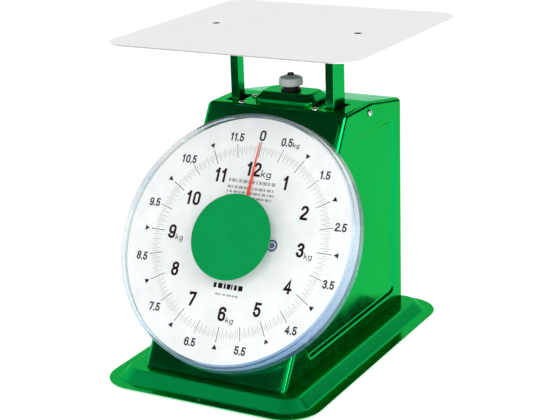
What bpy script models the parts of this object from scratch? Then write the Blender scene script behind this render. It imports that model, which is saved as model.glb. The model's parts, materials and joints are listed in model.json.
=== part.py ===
"""Mechanical dial platform scale, 12 kg: every piece as its own object.

Units in this file are millimetres, turned into metres where meshes and objects are made.
+Z is up, the dial faces -Y, +X is to the right of a person reading the dial.
The origin lies on the table top, under the middle of the base.
"""

import math

import bmesh
import bpy
from mathutils import Matrix, Vector

MM = 0.001
GAP = 0.3  # left between pieces that touch

# Driving dimensions
BASE_WIDTH, BASE_DEPTH, BASE_CORNER = 240.0, 348.0, 37.0
FOOT_HEIGHT = 2.0  # the feet hold the lip of the base this far off the table
LIP_WIDTH = 11.0
PLATEAU_Z = 14.0
SHEET = 1.2  # steel sheet of the base, casing and covers

CASING_HALF_WIDTH = 82.0
CASING_TOP_Z = 260.0
CASING_KNEE_Y = 67.5
CASING_REAR_Y, CASING_REAR_Z = 143.5, 247.5
CASING_EDGE_RADIUS = 5.0
RECESS_DEPTH = 2.5

TILT = math.radians(31.0)  # the dial and the front lean back by this much
DIAL_CENTRE = Vector((0.0, -77.2, 140.6))
CASING_FRONT_H = -11.2  # front of the casing, measured along the dial's normal
PANEL_BACK_H, PANEL_FRONT_H = -10.9, -9.7
DIAL_RADIUS = 130.5
COVER_RADIUS, COVER_RIM_RADIUS, COVER_RIM_H = 134.4, 131.4, 12.6
DOME_H, DOME_RADIUS = 18.8, 50.0
HUB_DISC_RADIUS = 44.8

PLATFORM_WIDTH, PLATFORM_DEPTH, PLATFORM_CORNER = 280.0, 270.0, 26.0
PLATFORM_TOP_Z, PLATFORM_THICKNESS = 338.4, 1.2
PLATFORM_Y = 34.4
POST_OUTER_X, POST_FLANGE, POST_DEPTH, POST_SHEET = 60.7, 9.3, 25.2, 2.0
POST_BOTTOM_Z = 48.0

GEAR_MODULE, PINION_TEETH = 0.4, 10
PINION_RADIUS = GEAR_MODULE * PINION_TEETH / 2
TRAVEL = 2 * math.pi * PINION_RADIUS / math.cos(TILT)  # platform travel for one turn of the pointer

LEVER_LENGTH = 70.0
LEVER_PIVOT_Y = 110.0
UPPER_PIVOT_Z, LOWER_PIVOT_Z = 190.0, 60.0
LEVER_REST = math.asin(TRAVEL / 2 / LEVER_LENGTH)  # the levers start and end this far off level
GUIDE_PIN_Y = LEVER_PIVOT_Y - LEVER_LENGTH * math.cos(LEVER_REST)

ZERO_Y = 43.0  # the zero screw, the springs and the spring bars lie in this plane
SPRING_X, SPRING_RADIUS, SPRING_WIRE, SPRING_TURNS = 22.0, 9.0, 2.8, 14
HOOK_RADIUS = 6.0
UPPER_HOOK_Z, LOWER_HOOK_Z = 240.0, 106.0  # where each hook passes through its bar


# ---------------------------------------------------------------- materials

def material(name, colour, roughness, metallic=0.0):
    made = bpy.data.materials.new(name)
    made.use_nodes = True
    shader = made.node_tree.nodes["Principled BSDF"]
    shader.inputs["Base Color"].default_value = (*colour, 1.0)
    shader.inputs["Roughness"].default_value = roughness
    shader.inputs["Metallic"].default_value = metallic
    return made


# ---------------------------------------------------------------- outlines (lists of 2-D points)

def arc(centre_x, centre_y, radius, start, end, steps):
    angles = [math.radians(start + (end - start) * i / steps) for i in range(steps + 1)]
    return [(centre_x + radius * math.cos(a), centre_y + radius * math.sin(a)) for a in angles]


def circle(centre_x, centre_y, radius, steps=16):
    return arc(centre_x, centre_y, radius, 0, 360 - 360 / steps, steps - 1)


def rectangle(low_x, low_y, high_x, high_y):
    return [(low_x, low_y), (high_x, low_y), (high_x, high_y), (low_x, high_y)]


def rounded_rectangle(width, depth, radius, steps=5, centre=(0.0, 0.0)):
    points = []
    for quarter, (sign_x, sign_y) in enumerate([(1, 1), (-1, 1), (-1, -1), (1, -1)]):
        corner_x = centre[0] + sign_x * (width / 2 - radius)
        corner_y = centre[1] + sign_y * (depth / 2 - radius)
        points += arc(corner_x, corner_y, radius, 90 * quarter, 90 * quarter + 90, steps)
    return points


def slot(centre_x, centre_y, half_length, radius, steps=8):
    """A slot that runs along the first axis."""
    right = arc(centre_x + half_length, centre_y, radius, -90, 90, steps)
    left = arc(centre_x - half_length, centre_y, radius, 90, 270, steps)
    return right + left


def filleted(points, radius, steps=3):
    """An outline with each of its corners rounded."""
    rounded = []
    for i, point in enumerate(points):
        corner = Vector(point)
        to_last = (Vector(points[i - 1]) - corner).normalized()
        to_next = (Vector(points[(i + 1) % len(points)]) - corner).normalized()
        half_angle = to_last.angle(to_next) / 2
        centre = corner + (to_last + to_next).normalized() * (radius / math.sin(half_angle))
        first = corner + to_last * (radius / math.tan(half_angle)) - centre
        sweep = math.pi - 2 * half_angle
        turn = 1 if to_last.cross(to_next) < 0 else -1
        for k in range(steps + 1):
            spoke = first.copy()
            spoke.rotate(Matrix.Rotation(turn * sweep * k / steps, 2))
            rounded.append(tuple(centre + spoke))
    return rounded


def inset(points, distance):
    """A counter-clockwise outline with every side moved inwards."""
    moved = []
    for i, point in enumerate(points):
        corner = Vector(point)
        before = (corner - Vector(points[i - 1])).normalized()
        after = (Vector(points[(i + 1) % len(points)]) - corner).normalized()
        inward_before = Vector((-before.y, before.x))
        inward_after = Vector((-after.y, after.x))
        shift = (inward_before + inward_after) / (1 + inward_before.dot(inward_after))
        moved.append(tuple(corner + shift * distance))
    return moved


# ---------------------------------------------------------------- meshes and objects

def add_object(name, mesh, finish, parent=None, location=(0, 0, 0), rotation=(0, 0, 0), smooth=0):
    """An object from a mesh in millimetres. smooth is the angle under which edges are shaded round."""
    made = bpy.data.objects.new(name, mesh)
    bpy.context.scene.collection.objects.link(made)
    mesh.transform(Matrix.Scale(MM, 4))
    made.location = Vector(location) * MM
    made.rotation_euler = rotation
    made.parent = parent
    if finish:
        mesh.materials.append(finish)
    if smooth:
        mesh.shade_smooth()
        mesh.set_sharp_from_angle(angle=math.radians(smooth))
    return made


def axis_empty(name, location, rotation=(0, 0, 0), parent=None):
    empty = bpy.data.objects.new(name, None)
    bpy.context.scene.collection.objects.link(empty)
    empty.location = Vector(location) * MM
    empty.rotation_euler = rotation
    empty.parent = parent
    return empty


def mesh_from(bm, name):
    bmesh.ops.recalc_face_normals(bm, faces=bm.faces)
    mesh = bpy.data.meshes.new(name)
    bm.to_mesh(mesh)
    bm.free()
    return mesh


def extruded(name, outlines, low, high):
    """A plate: the first outline, less the holes of the others, between two heights on its Z axis."""
    bm = bmesh.new()
    edges = []
    for outline in outlines:
        ring = [bm.verts.new((x, y, low)) for x, y in outline]
        edges += [bm.edges.new((ring[i - 1], ring[i])) for i in range(len(ring))]
    if len(outlines) == 1:
        bm.faces.new(ring)
    else:
        bmesh.ops.triangle_fill(bm, edges=edges, use_beauty=True)
    grown = bmesh.ops.extrude_face_region(bm, geom=bm.faces[:])
    top = [item for item in grown["geom"] if isinstance(item, bmesh.types.BMVert)]
    bmesh.ops.translate(bm, verts=top, vec=(0, 0, high - low))
    return mesh_from(bm, name)


def lofted(name, sections):
    """A solid through rings of equal point counts, each given as (outline, height), capped at both ends."""
    bm = bmesh.new()
    rings = [[bm.verts.new((x, y, z)) for x, y in outline] for outline, z in sections]
    for lower, upper in zip(rings, rings[1:]):
        for i in range(len(lower)):
            bm.faces.new((lower[i - 1], lower[i], upper[i], upper[i - 1]))
    bm.faces.new(rings[0])
    bm.faces.new(rings[-1])
    return mesh_from(bm, name)


def turned(name, profile, steps=32):
    """A closed profile of (radius, height) points turned about Z; points at radius 0 become one vertex."""
    bm = bmesh.new()
    rings = []
    for radius, height in profile:
        if radius == 0:
            rings.append([bm.verts.new((0, 0, height))] * steps)
        else:
            rings.append([bm.verts.new((x, y, height)) for x, y in circle(0, 0, radius, steps)])
    for k, ring in enumerate(rings):
        last = rings[k - 1]
        for i in range(steps):
            corners = dict.fromkeys((last[i - 1], last[i], ring[i], ring[i - 1]))
            if len(corners) > 2:
                bm.faces.new(corners)
    return mesh_from(bm, name)


def cylinder(name, radius, low, high, steps=16):
    return turned(name, [(0, low), (radius, low), (radius, high), (0, high)], steps)


def tube(name, inner, outer, low, high, steps=24):
    return turned(name, [(inner, low), (outer, low), (outer, high), (inner, high)], steps)


def box(name, low, high):
    return extruded(name, [rectangle(low[0], low[1], high[0], high[1])], low[2], high[2])


def guide_object(mesh, parent=None, location=(0, 0, 0), rotation=(0, 0, 0)):
    """A shape that only takes part in Booleans."""
    made = add_object(mesh.name, mesh, None, parent, location, rotation)
    made.hide_render = True
    made.display_type = "WIRE"
    return made


def combine(target, tool, operation):
    modifier = target.modifiers.new(tool.name, "BOOLEAN")
    modifier.operation = operation
    modifier.solver = "EXACT"
    modifier.object = tool


def bore(target, name, radius, start, end, parent=None, steps=16):
    """Cuts a round hole between two points of the target's parent frame."""
    start, end = Vector(start), Vector(end)
    turn = (end - start).to_track_quat("Z", "Y").to_euler()
    drill = guide_object(cylinder(name, radius, 0, (end - start).length, steps), parent, start, turn)
    combine(target, drill, "DIFFERENCE")


ALONG_X = (math.pi / 2, 0, math.pi / 2)  # local X, Y, Z become +Y, +Z, +X
FACING_FRONT = (math.pi / 2, 0, 0)  # local X, Y, Z become +X, +Z, -Y


# ---------------------------------------------------------------- base

BASE_SCREWS = [(sx * 76.0, y) for sx in (-1, 1) for y in (-100.0, 120.0)]


def tray_section(inset_by, height):
    outline = rounded_rectangle(
        BASE_WIDTH - 2 * inset_by, BASE_DEPTH - 2 * inset_by, BASE_CORNER - inset_by, steps=6
    )
    return outline, height


def make_base():
    lip_top = FOOT_HEIGHT + SHEET
    upper = [
        tray_section(0, lip_top),
        tray_section(LIP_WIDTH, lip_top),
        tray_section(LIP_WIDTH + 3.0, lip_top + 1.2),
        tray_section(LIP_WIDTH + 7.0, PLATEAU_Z - 3.2),
        tray_section(LIP_WIDTH + 9.5, PLATEAU_Z - 0.8),
        tray_section(LIP_WIDTH + 13.0, PLATEAU_Z),
    ]
    lower = [
        tray_section(0, FOOT_HEIGHT),
        tray_section(LIP_WIDTH + 0.4, FOOT_HEIGHT),
        tray_section(LIP_WIDTH + 4.0, FOOT_HEIGHT + 1.2),
        tray_section(LIP_WIDTH + 8.2, PLATEAU_Z - 4.0),
        tray_section(LIP_WIDTH + 10.3, PLATEAU_Z - 2.0),
        tray_section(LIP_WIDTH + 13.2, PLATEAU_Z - SHEET),
    ]
    tray = add_object("base_tray", lofted("base_tray", lower[::-1] + upper), GREEN, smooth=50)
    for i, (x, y) in enumerate(BASE_SCREWS):
        bore(tray, f"tray_hole_{i}", 2.4, (x, y, 5), (x, y, 20), steps=10)

    for side, sx in (("left", -1), ("right", 1)):
        for end, sy in (("front", -1), ("rear", 1)):
            foot = turned("foot", [(0, 0), (9.5, 0), (11, 1.5), (11, 12.5), (0, 12.5)], 20)
            place = (sx * (BASE_WIDTH / 2 - 38), sy * (BASE_DEPTH / 2 - 38), 0)
            add_object(f"foot_{end}_{side}", foot, RUBBER, location=place, smooth=40)

    stop = turned("stop_bumper", [(0, 14.3), (10, 14.3), (10, 24), (7, 29), (0, 29)], 20)
    add_object("stop_bumper", stop, RUBBER, location=(0, PLATFORM_Y, 0), smooth=40)


# ---------------------------------------------------------------- casing

def front_y(height):
    """Y of the casing's leaning front at a height."""
    return DIAL_CENTRE.y - CASING_FRONT_H / math.cos(TILT) + (height - DIAL_CENTRE.z) * math.tan(TILT)


CASING_BOTTOM_Z = PLATEAU_Z + GAP
CASING_PROFILE = [  # (Y, Z), counter-clockwise seen from +X
    (front_y(CASING_BOTTOM_Z), CASING_BOTTOM_Z),
    (CASING_REAR_Y, CASING_BOTTOM_Z),
    (CASING_REAR_Y, CASING_REAR_Z),
    (CASING_KNEE_Y, CASING_TOP_Z),
    (front_y(CASING_TOP_Z), CASING_TOP_Z),
]
RECESS_TOP_Z, RECESS_BOTTOM_Z, RECESS_REAR_Y, RECESS_FRONT_MARGIN = 226.5, 32.0, 120.0, 33.5
RECESS_PROFILE = [
    (front_y(RECESS_BOTTOM_Z) + RECESS_FRONT_MARGIN, RECESS_BOTTOM_Z),
    (RECESS_REAR_Y, RECESS_BOTTOM_Z),
    (RECESS_REAR_Y, RECESS_TOP_Z),
    (front_y(RECESS_TOP_Z) + RECESS_FRONT_MARGIN, RECESS_TOP_Z),
]
TOP_SCREWS = [(sx * 43.0, y) for sx in (-1, 1) for y in (13.6, 42.3)]
SIDE_SCREW_Y, SIDE_SCREW_Z = 60.8, 249.5


def casing_block(name, thickness):
    """The casing's solid shape, thickness inside its outer surface, with rounded edges."""
    half_width = CASING_HALF_WIDTH - thickness
    prism = extruded(f"{name}_prism", [inset(CASING_PROFILE, thickness)], -half_width, half_width)
    bm = bmesh.new()
    bm.from_mesh(prism)
    floor = CASING_BOTTOM_Z + thickness
    edges = [e for e in bm.edges if any(v.co.y > floor + 1 for v in e.verts)]
    radius = CASING_EDGE_RADIUS - thickness
    bmesh.ops.bevel(bm, geom=edges, offset=radius, segments=3, profile=0.5, affect="EDGES")
    return guide_object(mesh_from(bm, name), rotation=ALONG_X)


def recess_cutter(name, side, thickness):
    """The shallow field pressed into a side; thickness moves it inwards for the inner surface."""
    widen = thickness * (math.sqrt(2) - 1)
    floor_x = CASING_HALF_WIDTH - RECESS_DEPTH - thickness
    mouth_x = CASING_HALF_WIDTH + 3.0
    floor = filleted(inset(RECESS_PROFILE, RECESS_DEPTH - widen), 5.0)
    mouth = filleted(inset(RECESS_PROFILE, RECESS_DEPTH - widen - (mouth_x - floor_x)), 5.0)
    mesh = lofted(name, [(floor, side * floor_x), (mouth, side * mouth_x)])
    return guide_object(mesh, rotation=ALONG_X)


def make_casing(dial_frame):
    casing = casing_block("casing", 0)
    casing.hide_render = False
    casing.display_type = "TEXTURED"
    casing.data.materials.append(GREEN)
    cavity = casing_block("casing_cavity", SHEET)
    for side, word in ((-1, "left"), (1, "right")):
        combine(casing, recess_cutter(f"recess_{word}", side, 0), "DIFFERENCE")
        combine(cavity, recess_cutter(f"recess_inside_{word}", side, SHEET), "DIFFERENCE")
    combine(casing, cavity, "DIFFERENCE")

    front_opening = box("front_opening", (-66, -133, -20), (66, 115, -5))
    combine(casing, guide_object(front_opening, dial_frame), "DIFFERENCE")
    bottom_opening = box("bottom_opening", (-71, front_y(CASING_BOTTOM_Z) + 14, 5), (71, 130, 25))
    combine(casing, guide_object(bottom_opening), "DIFFERENCE")
    for side, word in ((-1, "left"), (1, "right")):
        outline = rounded_rectangle(18, 31, 2, 2, centre=(side * 57.5, PLATFORM_Y))
        post_slot = extruded(f"post_slot_{word}", [outline], 240, 280)
        combine(casing, guide_object(post_slot), "DIFFERENCE")
        start = (side * 70, SIDE_SCREW_Y, SIDE_SCREW_Z)
        end = (side * 90, SIDE_SCREW_Y, SIDE_SCREW_Z)
        bore(casing, f"side_hole_{word}", 2.4, start, end, steps=10)
    bore(casing, "stem_hole", 10.0, (0, ZERO_Y, 240), (0, ZERO_Y, 280))
    for i, (x, y) in enumerate(TOP_SCREWS):
        bore(casing, f"top_hole_{i}", 1.9, (x, y, 240), (x, y, 280), steps=10)
    for i, (x, y) in enumerate(BASE_SCREWS):
        bore(casing, f"flange_hole_{i}", 2.4, (x, y, 5), (x, y, 20), steps=10)


def panel_y(height):
    """Distance from the dial's centre, up the panel's face, to a height."""
    return (height - DIAL_CENTRE.z - PANEL_FRONT_H * math.sin(TILT)) / math.cos(TILT)


def make_front_panel(dial_frame):
    low, high = panel_y(16.5), panel_y(253.0)
    outline = rounded_rectangle(153, high - low, 4, 3, centre=(0, (low + high) / 2))
    panel = extruded("front_panel", [outline, circle(0, 0, 9)], PANEL_BACK_H, PANEL_FRONT_H)
    add_object("front_panel", panel, GREEN, dial_frame)


def make_top_housing():
    centre = (0, 44.2)
    outside = [(71.0, 44.8, 9.0, 260.3), (71.0, 44.8, 9.0, 263.2), (68.4, 42.4, 8.4, 266.4),
               (62.0, 36.6, 7.4, 269.6), (55.0, 30.0, 6.0, 270.8)]
    inside = [(68.6, 42.4, 7.8, 260.3), (68.6, 42.4, 7.8, 262.8), (66.2, 40.2, 7.4, 265.4),
              (60.6, 35.2, 6.8, 268.4), (54.4, 29.4, 5.6, 269.6)]
    sections = [(rounded_rectangle(w, d, r, 3, centre), z) for w, d, r, z in inside[::-1] + outside]
    housing = add_object("top_housing", lofted("top_housing", sections), GREEN, smooth=50)
    bore(housing, "housing_hole", 5.5, (0, ZERO_Y, 262), (0, ZERO_Y, 280))

    beam_shape = [(-80.4, 243), (-78.4, 243), (-78.4, 256.4), (78.4, 256.4), (78.4, 243),
                  (80.4, 243), (80.4, 258.4), (-80.4, 258.4)]
    outer_corners = filleted(beam_shape[6:] + [(-80.4, 243), (80.4, 243)], 4.0)[:8]
    beam_outline = beam_shape[:6] + outer_corners
    beam = add_object("top_beam", extruded("top_beam", [beam_outline], -66, -56), STEEL,
                      rotation=FACING_FRONT)
    for side, word in ((-1, "left"), (1, "right")):
        start = (side * 70, SIDE_SCREW_Y, SIDE_SCREW_Z)
        end = (side * 90, SIDE_SCREW_Y, SIDE_SCREW_Z)
        bore(beam, f"beam_hole_{word}", 2.4, start, end, steps=10)


def screw(name, location, rotation=(0, 0, 0), parent=None, head=3.6, head_height=2.2, shank=1.6,
          length=8.0, finish=None):
    """A pan-head screw with its seat at local Z 0 and its shank pointing down."""
    profile = [(0, -length), (shank, -length), (shank, 0), (head, 0), (head, head_height * 0.45),
               (head * 0.8, head_height * 0.85), (0, head_height)]
    mesh = turned(name, profile, 14)
    add_object(name, mesh, finish or ZINC, parent, location, rotation, smooth=40)


def make_casing_screws():
    rows = {13.6: "front", 42.3: "rear"}
    for x, y in TOP_SCREWS:
        side = "left" if x < 0 else "right"
        screw(f"top_screw_{rows[y]}_{side}", (x, y, CASING_TOP_Z + GAP))
    for side, word in ((-1, "left"), (1, "right")):
        place = (side * (CASING_HALF_WIDTH + GAP), SIDE_SCREW_Y, SIDE_SCREW_Z)
        screw(f"side_screw_{word}", place, (0, side * math.pi / 2, 0), shank=2.0)
    for x, y in BASE_SCREWS:
        side = "left" if x < 0 else "right"
        end = "front" if y < 0 else "rear"
        place = (x, y, PLATEAU_Z - SHEET - GAP)
        screw(f"base_screw_{end}_{side}", place, (math.pi, 0, 0), shank=2.0)


# ---------------------------------------------------------------- dial

def make_dial(dial_frame):
    pan = [(12, -9.4), (40, -9.4), (44, -8.4), (48, -2.1), (130.4, -2.1), (130.4, -7), (131.4, -7),
           (131.4, -1.1), (47.4, -1.1), (43.2, -8.4), (39.6, -8.4), (12, -8.4)]
    add_object("dial_pan", turned("dial_pan", pan, 64), GREEN, dial_frame, smooth=35)
    add_object("dial_plate", tube("dial_plate", 8, DIAL_RADIUS, -0.8, 0, 64), ENAMEL, dial_frame,
               smooth=35)

    wall = 1.8
    outside = [(COVER_RADIUS, -4.0), (COVER_RIM_RADIUS + 0.5, COVER_RIM_H - 2.5),
               (COVER_RIM_RADIUS - 1.2, COVER_RIM_H), (COVER_RIM_RADIUS - 5, COVER_RIM_H + 0.8),
               (90, DOME_H - 2.2), (DOME_RADIUS, DOME_H), (0, DOME_H)]
    inside = [(0, DOME_H - wall), (DOME_RADIUS, DOME_H - wall), (89.8, DOME_H - 2.2 - wall),
              (COVER_RIM_RADIUS - 5.4, COVER_RIM_H + 0.8 - wall),
              (COVER_RIM_RADIUS - 2.3, COVER_RIM_H - 3.0), (COVER_RADIUS - wall, -4.0)]
    cover = add_object("dial_cover", turned("dial_cover", outside + inside, 64), CLEAR, dial_frame,
                       smooth=35)
    bore(cover, "cover_hole", 1.8, (0, 0, 10), (0, 0, 25), dial_frame, steps=12)

    disc = [(2.0, DOME_H + GAP), (HUB_DISC_RADIUS - 0.6, DOME_H + GAP), (HUB_DISC_RADIUS, DOME_H + 0.6),
            (HUB_DISC_RADIUS, DOME_H + 1.0), (HUB_DISC_RADIUS - 0.6, DOME_H + 1.4), (2.0, DOME_H + 1.4)]
    add_object("hub_disc", turned("hub_disc", disc, 48), GREEN, dial_frame, smooth=35)
    rivet = [(0, DOME_H - 4), (1.5, DOME_H - 4), (1.5, DOME_H + 1.7), (2.6, DOME_H + 1.7),
             (2.2, DOME_H + 3.0), (0, DOME_H + 3.4)]
    add_object("hub_rivet", turned("hub_rivet", rivet, 14), GREEN, dial_frame, smooth=40)

    seal = [(0, GAP), (6, GAP), (6, 1.0), (5.2, 1.4), (0, 1.4)]
    add_object("seal_rivet", turned("seal_rivet", seal, 20), SEAL, dial_frame, (38.7, 0, 0), smooth=40)


# ---------------------------------------------------------------- pointer movement, in the dial's frame

CAGE_WIDTH, CAGE_LOW_Y, CAGE_HIGH_Y = 56.0, -13.0, 27.0
CAGE_FRONT_H, CAGE_REAR_H = -12.8, -42.0
RACK_LOW_H, RACK_HIGH_H = -33.0, -27.0
RACK_ROOT_X, RACK_BACK_X = PINION_RADIUS + 0.5, 6.5
RACK_TRAVEL = TRAVEL * math.cos(TILT)
DRIVE_PIN_Y, DRIVE_PIN_H = -24.0, -26.2
DRIVE_PIN_RADIUS = 1.5


def pinion_outline():
    """Ten straight-sided teeth: (radius, half width) at the root, the pitch line and the tip."""
    flank = [(1.45, 0.30), (PINION_RADIUS, 0.21), (PINION_RADIUS + 0.34, 0.09)]
    points = []
    for k in range(PINION_TEETH):
        middle = 2 * math.pi * k / PINION_TEETH
        for radius, half in flank:
            turn = middle - half / radius
            points.append((radius * math.cos(turn), radius * math.sin(turn)))
        for radius, half in flank[::-1]:
            turn = middle + half / radius
            points.append((radius * math.cos(turn), radius * math.sin(turn)))
    return points


def rack_outline():
    """The toothed bar: its teeth leave room for the pinion's tooth that points along +X at rest."""
    pitch = math.pi * GEAR_MODULE
    tip_x = PINION_RADIUS - 0.34
    points = [(RACK_ROOT_X, -28.0), (RACK_BACK_X, -28.0), (RACK_BACK_X, 18.0), (RACK_ROOT_X, 18.0)]
    for k in range(12, -3, -1):
        middle = (k + 0.5) * pitch
        points += [(RACK_ROOT_X, middle + 0.37), (tip_x, middle + 0.12),
                   (tip_x, middle - 0.12), (RACK_ROOT_X, middle - 0.37)]
    return points


def make_movement(dial_frame):
    corners = [(sx * 23.0, y) for sx in (-1, 1) for y in (-8.0, 22.0)]
    plate_centre = (0, (CAGE_LOW_Y + CAGE_HIGH_Y) / 2)
    plate = rounded_rectangle(CAGE_WIDTH, CAGE_HIGH_Y - CAGE_LOW_Y, 3, 2, plate_centre)
    front = extruded("movement_plate", [plate, circle(0, 0, 1.7)], CAGE_FRONT_H, CAGE_FRONT_H + 1.5)
    add_object("movement_plate", front, BRASS, dial_frame)

    rear = extruded("movement_cage", [plate, circle(0, 0, 1.7)], CAGE_REAR_H, CAGE_REAR_H + 1.5)
    cage = add_object("movement_cage", rear, BRASS, dial_frame)
    for i, (x, y) in enumerate(corners):
        pillar = cylinder(f"pillar_{i}", 2.5, CAGE_REAR_H + 0.5, CAGE_FRONT_H - GAP, 12)
        combine(cage, guide_object(pillar, dial_frame, (x, y, 0)), "UNION")

    guide_back, guide_lip = 6.8, 4.2
    high_h, low_h = -24.0, CAGE_REAR_H + 1.5 + GAP
    guide = [(guide_lip, -low_h), (guide_lip, -(RACK_LOW_H - GAP)), (guide_back, -(RACK_LOW_H - GAP)),
             (guide_back, -(RACK_HIGH_H + GAP)), (guide_lip, -(RACK_HIGH_H + GAP)),
             (guide_lip, -high_h), (guide_back + 2, -high_h), (guide_back + 2, -low_h)]
    add_object("rack_guide", extruded("rack_guide", [guide], -9, 11), BRASS, dial_frame,
               rotation=(-math.pi / 2, 0, 0))

    rack_frame = axis_empty("rack_axis", (0, 0, 0), parent=dial_frame)
    rack = add_object("rack", extruded("rack", [rack_outline()], RACK_LOW_H, RACK_HIGH_H), BRASS,
                      rack_frame)
    pin_end_h = DRIVE_PIN_H - TRAVEL * math.sin(TILT)
    middle_h = (DRIVE_PIN_H + pin_end_h) / 2
    half_h = (DRIVE_PIN_H - pin_end_h) / 2
    head_face = rounded_rectangle(18, 8, 2, 2, (-middle_h, DRIVE_PIN_Y))
    head = extruded("rack_head", [head_face], RACK_ROOT_X + 0.5, RACK_BACK_X)
    combine(rack, guide_object(head, rack_frame, rotation=(0, math.pi / 2, 0)), "UNION")
    groove = extruded("rack_slot", [slot(-middle_h, DRIVE_PIN_Y, half_h + 0.2, 1.75)], 0, 12)
    combine(rack, guide_object(groove, rack_frame, rotation=(0, math.pi / 2, 0)), "DIFFERENCE")

    pointer_frame = axis_empty("pointer_axis", (0, 0, 0), parent=dial_frame)
    add_object("pointer_shaft", cylinder("pointer_shaft", 1.0, -46, 6.5, 12), STEEL, pointer_frame,
               smooth=40)
    pinion = extruded("pinion", [pinion_outline(), circle(0, 0, 1.12, 12)], -34.5, -25.5)
    add_object("pinion", pinion, BRASS, pointer_frame)
    hub = turned("pointer_hub", [(1.15, 1.2), (6, 1.2), (6, 2.8), (3, 3.0), (3, 6.0), (1.15, 6.0)], 20)
    add_object("pointer_hub", hub, BRASS, pointer_frame, smooth=40)
    blade = [(-3.2, -30), (3.2, -30), (4.0, 0), (2.1, 46), (0.45, 103.6), (-0.45, 103.6),
             (-2.1, 46), (-4.0, 0)]
    pointer = extruded("pointer", [blade, circle(0, 0, 3.3, 16)], 3.3, 4.1)
    add_object("pointer", pointer, RED, pointer_frame)


# ---------------------------------------------------------------- zero adjuster and springs

def make_zero_adjuster():
    collar = [(3.3, 262.5), (5.2, 262.5), (5.2, 271.1), (11, 271.1), (11, 273.5), (3.3, 273.5)]
    add_object("knob_collar", turned("knob_collar", collar, 24), BLACK,
               location=(0, ZERO_Y, 0), smooth=40)

    knob_frame = axis_empty("zero_knob_axis", (0, ZERO_Y, 0))
    knob = [(3.2, 273.8), (11.6, 273.8), (13, 275.2), (13, 283.8), (12.2, 284.8), (4.5, 287.2),
            (3.2, 287.2)]
    add_object("zero_knob", turned("zero_knob", knob, 32), WHITE, knob_frame, smooth=40)
    stem = [(0, 236), (2.9, 236), (2.9, 287.5), (3.6, 287.5), (3.0, 289.2), (0, 289.8)]
    add_object("adjusting_screw", turned("adjusting_screw", stem, 16), DARK_STEEL, knob_frame, smooth=40)

    hanger_frame = axis_empty("zero_hanger_axis", (0, ZERO_Y, 0))
    face = filleted(rectangle(-34, 231, 34, 249), 3.0)
    hooks = [circle(sx * SPRING_X, UPPER_HOOK_Z, 2.9, 12) for sx in (-1, 1)]
    hanger = add_object("hanger_bar", extruded("hanger_bar", [face, *hooks], -2, 2), STEEL,
                        hanger_frame, rotation=FACING_FRONT)
    combine(hanger, guide_object(cylinder("hanger_boss", 6, 231, 249), hanger_frame), "UNION")
    bore(hanger, "hanger_thread", 3.2, (0, 0, 220), (0, 0, 260), hanger_frame)


def spring_path():
    """Lower hook, coil and upper hook about the spring's own axis; hooks are loops in the YZ plane."""
    hook_sweep = math.radians(300)
    steps = 12
    points = []
    lower_centre, upper_centre = LOWER_HOOK_Z + HOOK_RADIUS, UPPER_HOOK_Z - HOOK_RADIUS
    for k in range(steps + 1):
        angle = math.pi / 2 - hook_sweep + hook_sweep * k / steps
        points.append((0, HOOK_RADIUS * math.cos(angle), lower_centre + HOOK_RADIUS * math.sin(angle)))
    coil_low, coil_high = lower_centre + HOOK_RADIUS + 4.5, upper_centre - HOOK_RADIUS - 4.5
    per_turn = 12
    for k in range(SPRING_TURNS * per_turn + 1):
        angle = 2 * math.pi * k / per_turn
        height = coil_low + (coil_high - coil_low) * k / (SPRING_TURNS * per_turn)
        points.append((SPRING_RADIUS * math.sin(angle), -SPRING_RADIUS * math.cos(angle), height))
    for k in range(steps + 1):
        angle = -math.pi / 2 + hook_sweep * k / steps
        points.append((0, HOOK_RADIUS * math.cos(angle), upper_centre + HOOK_RADIUS * math.sin(angle)))
    return points


def make_springs():
    for side, word in ((-1, "left"), (1, "right")):
        curve = bpy.data.curves.new(f"main_spring_{word}", "CURVE")
        curve.dimensions = "3D"
        curve.bevel_depth = SPRING_WIRE / 2 * MM
        curve.bevel_resolution = 1
        curve.use_fill_caps = True
        path = spring_path()
        spline = curve.splines.new("POLY")
        spline.points.add(len(path) - 1)
        for point, place in zip(spline.points, path):
            point.co = (*(Vector(place) * MM), 1)
        curve.materials.append(STEEL)
        spring = bpy.data.objects.new(f"main_spring_{word}", curve)
        bpy.context.scene.collection.objects.link(spring)
        spring.location = Vector((side * SPRING_X, ZERO_Y, 0)) * MM


# ---------------------------------------------------------------- load frame

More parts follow.
